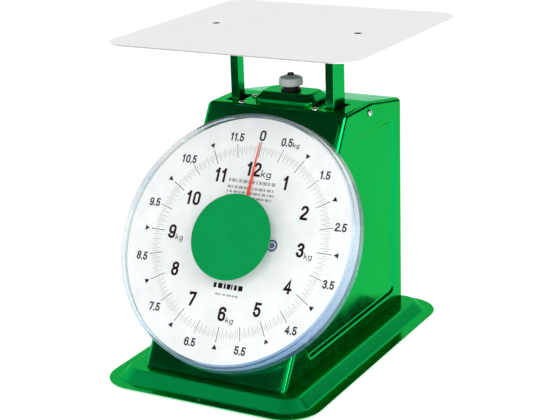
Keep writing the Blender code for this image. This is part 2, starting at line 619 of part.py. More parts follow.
def make_load_frame(dial_frame):
    frame = axis_empty("platform_axis", (0, PLATFORM_Y, 0))
    front, back = -POST_DEPTH / 2, POST_DEPTH / 2
    outer, inner = POST_OUTER_X, POST_OUTER_X - POST_FLANGE
    pin_y = GUIDE_PIN_Y - PLATFORM_Y
    pin_heights = {"upper": UPPER_PIVOT_Z + TRAVEL / 2, "lower": LOWER_PIVOT_Z + TRAVEL / 2}
    bar_low, bar_high = PLATFORM_TOP_Z - PLATFORM_THICKNESS - GAP - 3, PLATFORM_TOP_Z - PLATFORM_THICKNESS - GAP
    angle = [(inner, front), *arc(outer - 2.2, front + 2.2, 2.2, -90, 0, 3), (outer, back),
             (outer - POST_SHEET, back), (outer - POST_SHEET, front + POST_SHEET),
             (inner, front + POST_SHEET)]
    for side, word in ((-1, "left"), (1, "right")):
        outline = [(side * x, y) for x, y in angle]
        post_mesh = extruded(f"post_{word}", [outline], POST_BOTTOM_Z, bar_low - GAP)
        post = add_object(f"post_{word}", post_mesh, GREEN, frame)
        for level, height in pin_heights.items():
            start, end = (side * 50, pin_y, height), (side * 70, pin_y, height)
            bore(post, f"pin_hole_{level}_{word}", 2.15, start, end, frame, steps=12)
            pin = turned("pin", [(0, 57.3), (3.2, 57.3), (3.2, 58.4), (2, 58.4), (2, 66.3), (0, 66.3)], 12)
            add_object(f"guide_pin_{level}_{word}", pin, ZINC, frame, (0, pin_y, height),
                       (0, side * math.pi / 2, 0), smooth=40)

    reach = POST_OUTER_X - POST_SHEET - GAP
    plane_y = ZERO_Y - PLATFORM_Y
    face = rectangle(-reach, LOWER_HOOK_Z - 13, reach, LOWER_HOOK_Z + 6)
    hooks = [circle(sx * SPRING_X, LOWER_HOOK_Z, 2.4, 12) for sx in (-1, 1)]
    add_object("spring_anchor_bar", extruded("spring_anchor_bar", [face, *hooks], -2, 2), STEEL, frame,
               (0, plane_y, 0), FACING_FRONT)
    cross = [(-9, 50), (-9, 62), (-7, 62), (-7, 52), (9, 52), (9, 62), (11, 62), (11, 50)]
    add_object("lower_cross_beam", extruded("lower_cross_beam", [cross], -reach, reach), STEEL, frame,
               rotation=ALONG_X)

    pin_centre = dial_frame_point(0, DRIVE_PIN_Y, DRIVE_PIN_H)
    pin_y, pin_z = pin_centre.y - PLATFORM_Y, pin_centre.z
    back_y = plane_y - 2 - GAP
    arm_outline = [(pin_y - 5, pin_z - 3), (pin_y + 4, 93), (back_y, 93), (back_y, 103),
                   (pin_y + 9, 103), (pin_y + 5, pin_z + 4.5), (pin_y - 5, pin_z + 4.5)]
    arm = add_object("drive_arm", extruded("drive_arm", [arm_outline], 8, 10), STEEL, frame,
                     rotation=ALONG_X)
    pin = cylinder("drive_pin", DRIVE_PIN_RADIUS, 1.9, 9, 12)
    combine(arm, guide_object(pin, frame, (0, pin_y, pin_z), (0, math.pi / 2, 0)), "UNION")

    screws_x = (-83, 83)
    bar_holes = [circle(x, 0, 2.9, 10) for x in screws_x]
    bar = extruded("platform_bar", [rounded_rectangle(182, 26, 4, 2), *bar_holes], bar_low, bar_high)
    add_object("platform_bar", bar, STEEL, frame)
    plate_outline = rounded_rectangle(PLATFORM_WIDTH, PLATFORM_DEPTH, PLATFORM_CORNER, 6)
    plate_holes = [circle(x, 0, 4.4, 14) for x in screws_x]
    plate = extruded("platform", [plate_outline, *plate_holes], PLATFORM_TOP_Z - PLATFORM_THICKNESS,
                     PLATFORM_TOP_Z)
    add_object("platform", plate, STAINLESS, frame)
    flush = [(0, -9), (2, -9), (2, -1.9), (3.9, -0.6), (3.9, -0.1), (0, -0.1)]  # head level with the plate
    for x, word in zip(screws_x, ("left", "right")):
        add_object(f"platform_screw_{word}", turned(f"platform_screw_{word}", flush, 14), ZINC, frame,
                   (x, 0, PLATFORM_TOP_Z), smooth=40)


def dial_frame_point(x, y, h):
    """A point given in the dial's frame, in the world."""
    up = Vector((0, math.sin(TILT), math.cos(TILT)))
    normal = Vector((0, -math.cos(TILT), math.sin(TILT)))
    return DIAL_CENTRE + Vector((x, 0, 0)) + up * y + normal * h


# ---------------------------------------------------------------- parallel guide levers

ARM_X = 62.3  # inner face of the lever arms


def make_levers():
    pivots = {"upper": UPPER_PIVOT_Z, "lower": LOWER_PIVOT_Z}
    for level, height in pivots.items():
        pivot = axis_empty(f"{level}_lever_axis", (0, LEVER_PIVOT_Y, height), (-LEVER_REST, 0, 0))
        outside, front, back = ARM_X + 2, -LEVER_LENGTH - 6, 11
        strap = [(-outside, front), (-outside, back), (outside, back), (outside, front), (ARM_X, front),
                 (ARM_X, back - 2), (-ARM_X, back - 2), (-ARM_X, front)]
        lever = add_object(f"{level}_lever", extruded(f"{level}_lever", [strap], -6, 6), STEEL, pivot)
        eye = (LEVER_LENGTH + LEVER_LENGTH * math.cos(LEVER_REST)) / 2
        eye_cut = extruded(f"{level}_eye", [slot(-eye, 0, 0.45, 2.3)], -90, 90)
        combine(lever, guide_object(eye_cut, pivot, rotation=ALONG_X), "DIFFERENCE")
        bore(lever, f"{level}_axle_hole", 2.65, (-90, 0, 0), (90, 0, 0), pivot, steps=12)
        axle = cylinder(f"{level}_axle", 2.4, -71, 71, 12)
        add_object(f"{level}_axle", axle, ZINC, pivot, rotation=(0, math.pi / 2, 0), smooth=40)

    for side, word in ((-1, "left"), (1, "right")):
        bracket = [(56, 14.6), (69.5, 14.6), (69.5, UPPER_PIVOT_Z + 14), (67.5, UPPER_PIVOT_Z + 14),
                   (67.5, 16.6), (56, 16.6)]
        outline = [(side * x, z) for x, z in bracket]
        mesh = extruded(f"lever_bracket_{word}", [outline], -(LEVER_PIVOT_Y + 12), -(LEVER_PIVOT_Y - 12))
        made = add_object(f"lever_bracket_{word}", mesh, STEEL, rotation=FACING_FRONT)
        for level, height in pivots.items():
            start, end = (side * 60, LEVER_PIVOT_Y, height), (side * 80, LEVER_PIVOT_Y, height)
            bore(made, f"bracket_hole_{level}_{word}", 2.65, start, end, steps=12)


for old in list(bpy.data.objects):
    bpy.data.objects.remove(old, do_unlink=True)

GREEN = material("green enamel", (0.0, 0.36, 0.11), 0.16)
STAINLESS = material("stainless steel", (0.80, 0.81, 0.80), 0.30, 1.0)
STEEL = material("zinc-plated sheet", (0.55, 0.56, 0.57), 0.38, 1.0)
DARK_STEEL = material("blackened steel", (0.06, 0.05, 0.06), 0.40, 1.0)
ZINC = material("bright zinc", (0.78, 0.79, 0.80), 0.22, 1.0)
BRASS = material("brass", (0.72, 0.55, 0.25), 0.30, 1.0)
RUBBER = material("black rubber", (0.02, 0.02, 0.02), 0.80)
BLACK = material("black plastic", (0.015, 0.015, 0.015), 0.35)
WHITE = material("white plastic", (0.70, 0.75, 0.73), 0.30)
ENAMEL = material("white dial enamel", (0.88, 0.88, 0.87), 0.35)
CLEAR = material("clear plastic", (0.75, 0.86, 0.95), 0.05)
RED = material("red lacquer", (0.80, 0.06, 0.02), 0.35)
SEAL = material("seal lead", (0.45, 0.48, 0.55), 0.40, 0.6)

DIAL_FRAME = axis_empty("dial_frame", DIAL_CENTRE, (math.pi / 2 - TILT, 0, 0))

make_base()
make_casing(DIAL_FRAME)
make_front_panel(DIAL_FRAME)
make_top_housing()
make_casing_screws()
make_dial(DIAL_FRAME)
make_movement(DIAL_FRAME)
make_zero_adjuster()
make_springs()
make_load_frame(DIAL_FRAME)
make_levers()
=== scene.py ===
"""Looks of the dial platform scale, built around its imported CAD.

Lengths are millimetres in this file and become metres where objects are made. +Z is up, the dial
faces -Y. Pieces of the dial are built in its own plane: X to the right, Y up the dial, Z towards
the reader, with 0 on the printed face.
"""

import json
import math

import bmesh
import bpy
from mathutils import Matrix, Vector


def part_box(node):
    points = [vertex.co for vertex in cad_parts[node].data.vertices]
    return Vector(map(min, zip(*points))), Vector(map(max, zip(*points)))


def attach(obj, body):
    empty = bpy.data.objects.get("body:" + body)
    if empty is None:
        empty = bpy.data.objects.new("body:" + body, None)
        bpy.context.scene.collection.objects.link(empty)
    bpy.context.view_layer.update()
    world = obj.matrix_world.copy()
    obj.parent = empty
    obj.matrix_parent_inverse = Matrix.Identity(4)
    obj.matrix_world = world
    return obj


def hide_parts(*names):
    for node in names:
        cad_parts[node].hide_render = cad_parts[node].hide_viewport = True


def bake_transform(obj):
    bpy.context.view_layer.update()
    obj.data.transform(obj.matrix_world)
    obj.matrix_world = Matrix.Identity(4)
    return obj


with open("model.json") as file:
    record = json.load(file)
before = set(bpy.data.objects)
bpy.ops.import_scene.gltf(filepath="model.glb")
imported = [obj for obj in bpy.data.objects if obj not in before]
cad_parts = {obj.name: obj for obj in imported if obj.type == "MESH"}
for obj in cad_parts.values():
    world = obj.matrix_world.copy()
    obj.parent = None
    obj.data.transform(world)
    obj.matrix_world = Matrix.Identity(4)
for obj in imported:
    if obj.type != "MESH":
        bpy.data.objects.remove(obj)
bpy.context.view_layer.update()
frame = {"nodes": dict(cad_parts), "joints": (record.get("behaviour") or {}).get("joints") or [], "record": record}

MM = 0.001
BODY = "casing_body"
LOAD = "load_frame"
SHEET = 1.2  # the pressed sheet of base, casing and housing
SHARP_ANGLE = 35  # degrees; edges bent further than this stay crisp


# ---------------------------------------------------------------- places, from the CAD

def joint(name):
    return next(j for j in frame["joints"] if j["name"] == name)


def box_mm(node):
    low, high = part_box(node)
    return low / MM, high / MM


POINTER_AXIS = -Vector(joint("pointer_turn")["axis"])  # the dial's normal, towards the reader
DIAL_CENTRE = Vector(joint("pointer_turn")["pos_m"]) / MM
TILT = math.asin(POINTER_AXIS.z)
DIAL_SPACE = Matrix.Translation(DIAL_CENTRE) @ Matrix.Rotation(math.pi / 2 - TILT, 4, "X")
KNOB_X, KNOB_Y = (Vector(joint("zero_turn")["pos_m"]) / MM)[:2]

BASE_LOW, BASE_HIGH = box_mm("base_tray")
CASING_LOW, CASING_HIGH = box_mm("casing")
PLATE_LOW, PLATE_HIGH = box_mm("platform")
PLATE_CENTRE = (PLATE_LOW + PLATE_HIGH) / 2
POST_LOW, POST_HIGH = box_mm("post_right")
PANEL_LOW, PANEL_HIGH = box_mm("front_panel")
HOUSING_LOW, HOUSING_HIGH = box_mm("top_housing")


# ---------------------------------------------------------------- outlines

def arc(centre_x, centre_y, radius_x, radius_y, start, end, steps):
    angles = [math.radians(start + (end - start) * i / steps) for i in range(steps + 1)]
    return [(centre_x + radius_x * math.cos(a), centre_y + radius_y * math.sin(a)) for a in angles]


def circle(centre_x, centre_y, radius, steps=32):
    return arc(centre_x, centre_y, radius, radius, 0, 360 - 360 / steps, steps - 1)


def rounded_rectangle(width, depth, radius, steps=8, centre=(0.0, 0.0)):
    points = []
    for quarter, (sign_x, sign_y) in enumerate([(1, 1), (-1, 1), (-1, -1), (1, -1)]):
        corner_x = centre[0] + sign_x * (width / 2 - radius)
        corner_y = centre[1] + sign_y * (depth / 2 - radius)
        points += arc(corner_x, corner_y, radius, radius, 90 * quarter, 90 * quarter + 90, steps)
    return points


def filleted(points, radius, steps=8):
    """An outline with each of its corners rounded."""
    rounded = []
    for i, point in enumerate(points):
        corner = Vector(point)
        to_last = (Vector(points[i - 1]) - corner).normalized()
        to_next = (Vector(points[(i + 1) % len(points)]) - corner).normalized()
        half_angle = to_last.angle(to_next) / 2
        centre = corner + (to_last + to_next).normalized() * (radius / math.sin(half_angle))
        first = corner + to_last * (radius / math.tan(half_angle)) - centre
        sweep = math.pi - 2 * half_angle
        turn = 1 if to_last.cross(to_next) < 0 else -1
        for k in range(steps + 1):
            spoke = first.copy()
            spoke.rotate(Matrix.Rotation(turn * sweep * k / steps, 2))
            rounded.append(tuple(centre + spoke))
    return rounded


def inset(points, distance):
    """A counter-clockwise outline with every side moved inwards."""
    moved = []
    for i, point in enumerate(points):
        corner = Vector(point)
        before = (corner - Vector(points[i - 1])).normalized()
        after = (Vector(points[(i + 1) % len(points)]) - corner).normalized()
        inward_before = Vector((-before.y, before.x))
        inward_after = Vector((-after.y, after.x))
        shift = (inward_before + inward_after) / (1 + inward_before.dot(inward_after))
        moved.append(tuple(corner + shift * distance))
    return moved


def round_corner(last, corner, following, radius, steps):
    """A profile's corner (radius, height) replaced by an arc."""
    corner, last, following = Vector(corner), Vector(last), Vector(following)
    to_last, to_next = (last - corner).normalized(), (following - corner).normalized()
    half_angle = to_last.angle(to_next) / 2
    reach = radius / math.tan(half_angle)
    centre = corner + (to_last + to_next).normalized() * (radius / math.sin(half_angle))
    first = corner + to_last * reach - centre
    turn = 1 if to_last.cross(to_next) < 0 else -1
    points = []
    for k in range(steps + 1):
        spoke = first.copy()
        spoke.rotate(Matrix.Rotation(turn * (math.pi - 2 * half_angle) * k / steps, 2))
        points.append(tuple(centre + spoke))
    return points


def eased(points, radii, steps=5):
    """An open profile whose inner corners are rounded; radii has one number for each inner corner."""
    result = [points[0]]
    for i, radius in enumerate(radii, 1):
        if radius:
            result += round_corner(points[i - 1], points[i], points[i + 1], radius, steps)
        else:
            result.append(points[i])
    result.append(points[-1])
    return result


# ---------------------------------------------------------------- meshes

def finished(bm, name):
    bmesh.ops.recalc_face_normals(bm, faces=bm.faces)
    mesh = bpy.data.meshes.new(name)
    bm.to_mesh(mesh)
    bm.free()
    return mesh


def extruded(name, outlines, low, high, bevel=0.0, bevel_steps=2):
    """A plate: the first outline, less the holes of the others, its rims eased by a small bevel."""
    bm = bmesh.new()
    edges = []
    for outline in outlines:
        ring = [bm.verts.new((x, y, low)) for x, y in outline]
        edges += [bm.edges.new((ring[i - 1], ring[i])) for i in range(len(ring))]
    if len(outlines) == 1:
        bm.faces.new(ring)
    else:
        bmesh.ops.triangle_fill(bm, edges=edges, use_beauty=True)
    grown = bmesh.ops.extrude_face_region(bm, geom=bm.faces[:])
    top = [item for item in grown["geom"] if isinstance(item, bmesh.types.BMVert)]
    bmesh.ops.translate(bm, verts=top, vec=(0, 0, high - low))
    bmesh.ops.recalc_face_normals(bm, faces=bm.faces)
    if bevel:
        flat = {f for f in bm.faces if abs(f.normal.z) > 0.9}
        rims = [e for e in bm.edges if len(flat.intersection(e.link_faces)) == 1]
        bmesh.ops.bevel(bm, geom=rims, offset=bevel, segments=bevel_steps, profile=0.5,
                        affect="EDGES", clamp_overlap=True)
    return finished(bm, name)


def lofted(name, sections):
    """A solid through rings of equal point counts, each (outline, height), capped at both ends."""
    bm = bmesh.new()
    rings = [[bm.verts.new((x, y, z)) for x, y in outline] for outline, z in sections]
    for lower, upper in zip(rings, rings[1:]):
        for i in range(len(lower)):
            bm.faces.new((lower[i - 1], lower[i], upper[i], upper[i - 1]))
    bm.faces.new(rings[0])
    bm.faces.new(rings[-1])
    return finished(bm, name)


def turned(name, profile, steps=64):
    """A closed profile of (radius, height) points turned about Z."""
    bm = bmesh.new()
    rings = []
    for radius, height in profile:
        if radius == 0:
            rings.append([bm.verts.new((0, 0, height))] * steps)
        else:
            rings.append([bm.verts.new((x, y, height)) for x, y in circle(0, 0, radius, steps)])
    for k, ring in enumerate(rings):
        last = rings[k - 1]
        for i in range(steps):
            corners = dict.fromkeys((last[i - 1], last[i], ring[i], ring[i - 1]))
            if len(corners) > 2:
                bm.faces.new(corners)
    return finished(bm, name)


def joined(name, meshes):
    bm = bmesh.new()
    for mesh in meshes:
        bm.from_mesh(mesh)
        bpy.data.meshes.remove(mesh)
    whole = bpy.data.meshes.new(name)
    bm.to_mesh(whole)
    bm.free()
    return whole


def transformed(mesh, matrix):
    mesh.transform(matrix)
    return mesh


def cut(mesh, cutters):
    """The mesh less each cutter mesh, by exact Booleans, all in one space."""
    target = bpy.data.objects.new(mesh.name, mesh)
    bpy.context.scene.collection.objects.link(target)
    tools = []
    for cutter in cutters:
        tool = bpy.data.objects.new(cutter.name, cutter)
        bpy.context.scene.collection.objects.link(tool)
        modifier = target.modifiers.new(cutter.name, "BOOLEAN")
        modifier.operation = "DIFFERENCE"
        modifier.solver = "EXACT"
        modifier.object = tool
        tools.append(tool)
    graph = bpy.context.evaluated_depsgraph_get()
    result = bpy.data.meshes.new_from_object(target.evaluated_get(graph))
    result.name = mesh.name
    for item in [target, *tools]:
        bpy.data.objects.remove(item)
    return result


ALONG_X = Matrix.Rotation(math.pi / 2, 4, "Z") @ Matrix.Rotation(math.pi / 2, 4, "X")


def drill(name, radius, x, y, low, high, steps=24):
    mesh = turned(name, [(0, low), (radius, low), (radius, high), (0, high)], steps)
    return transformed(mesh, Matrix.Translation((x, y, 0)))


def piece(name, mesh, finish, body, replaces=(), place=Matrix.Identity(4),
          smooth=SHARP_ANGLE, weighted=True):
    """A visible piece: a mesh in millimetres, placed, riding on a body and standing for CAD nodes."""
    mesh.transform(place)
    mesh.transform(Matrix.Scale(MM, 4))
    mesh.materials.clear()
    for item in finish if isinstance(finish, (list, tuple)) else [finish]:
        mesh.materials.append(item)
    mesh.shade_smooth()
    mesh.set_sharp_from_angle(angle=math.radians(smooth))
    made = bpy.data.objects.new(name, mesh)
    bpy.context.scene.collection.objects.link(made)
    if weighted:
        modifier = made.modifiers.new("even_shading", "WEIGHTED_NORMAL")
        modifier.keep_sharp = True
        modifier.weight = 80
    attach(made, body)
    if replaces:
        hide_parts(*replaces)
    return made


# ---------------------------------------------------------------- materials

class Finish:
    """A Principled material with procedural variation of colour, roughness and surface."""

    def __init__(self, name, colour, roughness, metallic=0.0, coat=0.0, coat_roughness=0.03, ior=1.5):
        self.material = bpy.data.materials.new(name)
        self.material.use_nodes = True
        self.tree = self.material.node_tree
        self.shader = self.tree.nodes["Principled BSDF"]
        self.colour = colour
        self.shader.inputs["Base Color"].default_value = (*colour, 1)
        self.shader.inputs["Roughness"].default_value = roughness
        self.shader.inputs["Metallic"].default_value = metallic
        self.shader.inputs["IOR"].default_value = ior
        self.shader.inputs["Coat Weight"].default_value = coat
        self.shader.inputs["Coat Roughness"].default_value = coat_roughness
        self.place = self.tree.nodes.new("ShaderNodeTexCoord").outputs["Object"]
        self.last_bump = None

    def stretched(self, scale):
        mapping = self.tree.nodes.new("ShaderNodeMapping")
        mapping.inputs["Scale"].default_value = scale
        self.tree.links.new(self.place, mapping.inputs["Vector"])
        return mapping.outputs["Vector"]

    def noise(self, per_metre, detail=3.0, stretch=None):
        node = self.tree.nodes.new("ShaderNodeTexNoise")
        node.inputs["Scale"].default_value = per_metre
        node.inputs["Detail"].default_value = detail
        node.inputs["Roughness"].default_value = 0.55
        self.tree.links.new(self.stretched(stretch) if stretch else self.place, node.inputs["Vector"])
        return node.outputs["Fac"]

    def ramp(self, factor, stops):
        node = self.tree.nodes.new("ShaderNodeValToRGB")
        ramp = node.color_ramp
        while len(ramp.elements) < len(stops):
            ramp.elements.new(0.5)
        for element, (position, colour) in zip(ramp.elements, stops):
            element.position = position
            element.color = (*colour, 1)
        self.tree.links.new(factor, node.inputs["Fac"])
        return node.outputs["Color"]

    def vary_colour(self, factor, darker=0.85, lighter=1.1):
        low = [c * darker for c in self.colour]
        high = [min(1.0, c * lighter) for c in self.colour]
        colour = self.ramp(factor, [(0.3, low), (0.7, high)])
        self.tree.links.new(colour, self.shader.inputs["Base Color"])

    def vary_roughness(self, factor, low, high):
        node = self.tree.nodes.new("ShaderNodeMapRange")
        node.inputs["From Min"].default_value = 0.3
        node.inputs["From Max"].default_value = 0.7
        node.inputs["To Min"].default_value = low
        node.inputs["To Max"].default_value = high
        self.tree.links.new(factor, node.inputs["Value"])
        self.tree.links.new(node.outputs["Result"], self.shader.inputs["Roughness"])

    def bump(self, height, strength, distance_mm, coat_too=False):
        node = self.tree.nodes.new("ShaderNodeBump")
        node.inputs["Strength"].default_value = strength
        node.inputs["Distance"].default_value = distance_mm * MM
        self.tree.links.new(height, node.inputs["Height"])
        if self.last_bump:
            self.tree.links.new(self.last_bump, node.inputs["Normal"])
        self.last_bump = node.outputs["Normal"]
        self.tree.links.new(self.last_bump, self.shader.inputs["Normal"])
        if coat_too:
            self.tree.links.new(self.last_bump, self.shader.inputs["Coat Normal"])


def green_enamel(name, colour):
    """Lacquer over bright metal: deep green, its shine tinted by the lacquer."""
    paint = Finish(name, colour, 0.15, metallic=0.96, coat=0.03, coat_roughness=0.05, ior=1.45)
    paint.shader.inputs["Specular Tint"].default_value = (0.03, 0.8, 0.4, 1)
    paint.vary_colour(paint.noise(9, 2), 0.95, 1.04)
    paint.vary_roughness(paint.noise(60, 4), 0.12, 0.2)
    paint.bump(paint.noise(420, 2), 0.06, 0.04, coat_too=True)
    return paint.material


def brushed(name, colour, roughness, stretch, metallic=1.0, strength=0.12):
    metal = Finish(name, colour, roughness, metallic)
    grain = metal.noise(900, 4, stretch)
    metal.vary_roughness(grain, roughness * (1 - 2 * strength), roughness * (1 + 2 * strength))
    metal.vary_colour(metal.noise(30, 3, stretch), 1 - strength / 2, 1 + strength / 3)
    metal.bump(grain, strength, 0.02)
    return metal.material


def moulded(name, colour, roughness, grain=1500, strength=0.08, specular=0.5):
    plastic = Finish(name, colour, roughness)
    plastic.shader.inputs["Specular IOR Level"].default_value = specular
    plastic.vary_colour(plastic.noise(40, 3), 0.94, 1.04)
    plastic.vary_roughness(plastic.noise(90, 3), roughness * 0.85, roughness * 1.2)
    plastic.bump(plastic.noise(grain, 2), strength, 0.03)
    return plastic.material


def clear_plastic(name, colour, roughness):
    clear = Finish(name, colour, roughness, ior=1.3)
    clear.shader.inputs["Transmission Weight"].default_value = 1.0
    clear.vary_roughness(clear.noise(35, 2), roughness, roughness + 0.02)
    return clear.material


def rim_plastic(name):
    """The thick rim of the clear cover, its colour painted light and shade: a pale painted highlight on the upper
    left, bluer and darker painted shade towards the lower right.
    """
    rim = Finish(name, (0.5, 0.7, 0.9), 0.05, ior=1.3)
    rim.shader.inputs["Transmission Weight"].default_value = 0.85
    rim.vary_roughness(rim.noise(35, 2), 0.03, 0.07)
    nodes, links = rim.tree.nodes, rim.tree.links

    def along(direction, offset, stops):
        across = nodes.new("ShaderNodeVectorMath")
        across.operation = "DOT_PRODUCT"
        across.inputs[1].default_value = direction
        shift = nodes.new("ShaderNodeMath")
        shift.operation = "ADD"
        shift.inputs[1].default_value = offset
        links.new(rim.place, across.inputs[0])
        links.new(across.outputs["Value"], shift.inputs[0])
        return rim.ramp(shift.outputs["Value"], stops)

    # painted shade, darker and bluer towards the lower right, and a painted highlight, pale on the upper left
    painted_shade_lower_right = along((1.6, 0, -3.6), 0.95, [(0.02, (0.50, 0.60, 0.70)), (0.22, (0.86, 0.90, 0.92)),
                                               (0.62, (0.62, 0.76, 0.88)), (0.90, (0.24, 0.38, 0.62))])
    painted_highlight_upper_left = along((-10, 0, 10), -2.85, [(0.0, (0, 0, 0)), (0.4, (0.97, 0.98, 0.98))])
    lighter = nodes.new("ShaderNodeMix")
    lighter.data_type = "RGBA"
    lighter.blend_type = "LIGHTEN"
    lighter.inputs["Factor"].default_value = 1
    links.new(painted_shade_lower_right, lighter.inputs["A"])
    links.new(painted_highlight_upper_left, lighter.inputs["B"])
    links.new(lighter.outputs["Result"], rim.shader.inputs["Base Color"])
    return rim.material


GREEN = green_enamel("green_enamel", (0.001, 0.38, 0.083))
DISC_GREEN = moulded("disc_green", (0.0, 0.27, 0.066), 0.5, 700, 0.05, 0.08)
STAINLESS = brushed("satin_stainless", (0.985, 0.99, 0.975), 0.42, (1, 0.05, 1), strength=0.02)
# painted shade: the plate's underside is near black, standing for the shade under the platform
PAINTED_SHADE_UNDERSIDE = brushed("painted_shade_underside", (0.05, 0.055, 0.05), 0.5, (1, 0.05, 1), 0.6)
ZINC = brushed("bright_zinc", (0.80, 0.81, 0.82), 0.2, (1, 1, 1))
STEEL = brushed("zinc_plated_sheet", (0.55, 0.57, 0.58), 0.36, (1, 1, 0.2))
DARK_STEEL = brushed("blackened_steel", (0.03, 0.025, 0.03), 0.4, (1, 1, 1), 0.6)
BRASS = brushed("drawn_brass", (0.72, 0.55, 0.25), 0.28, (1, 1, 0.3))
RUBBER = moulded("black_rubber", (0.018, 0.018, 0.018), 0.75, 600, 0.2)
BLACKENED = moulded("blackened_screw", (0.012, 0.011, 0.012), 0.7, specular=0.1)
BLACK = moulded("black_plastic", (0.012, 0.012, 0.012), 0.3)
WHITE = moulded("white_plastic", (0.55, 0.62, 0.60), 0.32)
ENAMEL = moulded("dial_enamel", (0.87, 0.88, 0.88), 0.4, 300, 0.02)
INK = moulded("dial_ink", (0.014, 0.002, 0.008), 0.6, specular=0.1)
GREY_INK = moulded("grey_ink", (0.02, 0.02, 0.024), 0.6, specular=0.1)
PALE_INK = moulded("pale_ink", (0.36, 0.37, 0.37), 0.6)
RED = moulded("red_lacquer", (0.85, 0.07, 0.03), 0.35)
CLEAR = clear_plastic("clear_plastic", (0.97, 0.99, 1.0), 0.02)
RIM_BLUE = rim_plastic("rim_plastic")
SEAL = moulded("seal_metal", (0.55, 0.64, 0.74), 0.35)
NAVY = moulded("seal_ink", (0.03, 0.05, 0.14), 0.4)


# ---------------------------------------------------------------- base

TRAY_CORNER = 37.0


def tray_outline(inset_by):
    size = BASE_HIGH - BASE_LOW
    return rounded_rectangle(size.x - 2 * inset_by, size.y - 2 * inset_by, TRAY_CORNER - inset_by, 28)


def make_base():
    low, plateau = BASE_LOW.z, BASE_HIGH.z
    top = [(0.35, low), (0.0, low + 0.35), (0.0, low + 0.8), (0.4, low + SHEET), (11.0, low + SHEET),
           (22.6, plateau), (30.0, plateau)]
    top = top[:3] + eased(top[3:], [4.0, 4.5], 7)
    under = eased([(1.0, low), (11.5, low), (23.1, plateau - SHEET), (30.0, plateau - SHEET)],
                  [2.8, 3.3], 5)
    sections = [(tray_outline(d), z) for d, z in under[::-1] + top]
    tray = lofted("base_tray_skin", sections)
    dimples = {"front": (0, BASE_LOW.y + 6.3), "right": (113.5, 95), "left": (-113.5, 95),
               "rear": (0, BASE_HIGH.y - 6.3)}
    drills = [drill(f"dimple_{place}", 1.3, x, y, 0, 6) for place, (x, y) in dimples.items()]
    piece("base_tray_skin", cut(tray, drills), GREEN, BODY, ["base_tray"])

    for end in ("front", "rear"):
        for side in ("left", "right"):
            name = f"foot_{end}_{side}"
            foot_low, foot_high = box_mm(name)
            middle = (foot_low + foot_high) / 2
            profile = [(0, 0.5), (6.5, 0.5), (7.0, 0.0), (10.0, 0.0), (11.0, 1.0), (11.0, 12.5), (0, 12.5)]
            mesh = turned(f"{name}_pad", profile, 40)
            piece(f"{name}_pad", mesh, RUBBER, BODY, [name],
                  Matrix.Translation((middle.x, middle.y, 0)))


# ---------------------------------------------------------------- casing

EDGE_RADIUS = 5.0
FRONT_H = -11.2  # the casing's front in the dial's space


def front_y(height):
    return DIAL_CENTRE.y - FRONT_H / math.cos(TILT) + (height - DIAL_CENTRE.z) * math.tan(TILT)


KNEE_Y, REAR_TOP_Z = 67.5, 247.5
CASING_PROFILE = [
    (front_y(CASING_LOW.z), CASING_LOW.z),
    (CASING_HIGH.y, CASING_LOW.z),
    (CASING_HIGH.y, REAR_TOP_Z),
    (KNEE_Y, CASING_HIGH.z),
    (front_y(CASING_HIGH.z), CASING_HIGH.z),
]
RECESS_LOW_Z, RECESS_HIGH_Z, RECESS_REAR_Y, RECESS_MARGIN, RECESS_DEPTH = 32.0, 226.5, 120.0, 33.5, 2.5
RECESS_PROFILE = [
    (front_y(RECESS_LOW_Z) + RECESS_MARGIN, RECESS_LOW_Z),
    (RECESS_REAR_Y, RECESS_LOW_Z),
    (RECESS_REAR_Y, RECESS_HIGH_Z),
    (front_y(RECESS_HIGH_Z) + RECESS_MARGIN, RECESS_HIGH_Z),
]
RECESS_FILLET = 6.0
RECESS_STEPS = [(0.8, 2.46), (1.6, 2.3), (2.6, 1.9), (4.2, 0.95), (5.2, 0.5), (6.2, 0.2), (7.2, 0.04),
                (8.0, -0.1), (9.5, -0.5)]  # (outwards from the floor's outline, depth)


def casing_block(name, thickness, segments):
    half_width = CASING_HIGH.x - thickness
    prism = extruded(name, [inset(CASING_PROFILE, thickness)], -half_width, half_width)
    bm = bmesh.new()
    bm.from_mesh(prism)
    floor = CASING_LOW.z + thickness
    edges = [e for e in bm.edges if any(v.co.y > floor + 1 for v in e.verts)]  # all but the lowest ones
    bmesh.ops.bevel(bm, geom=edges, offset=EDGE_RADIUS - thickness, segments=segments, profile=0.5,
                    affect="EDGES")
    return transformed(finished(bm, name), ALONG_X)


def recess_cutter(name, side, thickness):
    face_x = CASING_HIGH.x - thickness
    floor_outline = inset(RECESS_PROFILE, RECESS_DEPTH - thickness * (math.sqrt(2) - 1))
    sections = [(filleted(floor_outline, RECESS_FILLET), side * (face_x - RECESS_DEPTH))]
    for outwards, depth in RECESS_STEPS:
        outline = filleted(inset(floor_outline, -outwards), RECESS_FILLET + outwards)
        sections.append((outline, side * (face_x - depth)))
    return transformed(lofted(name, sections), ALONG_X)


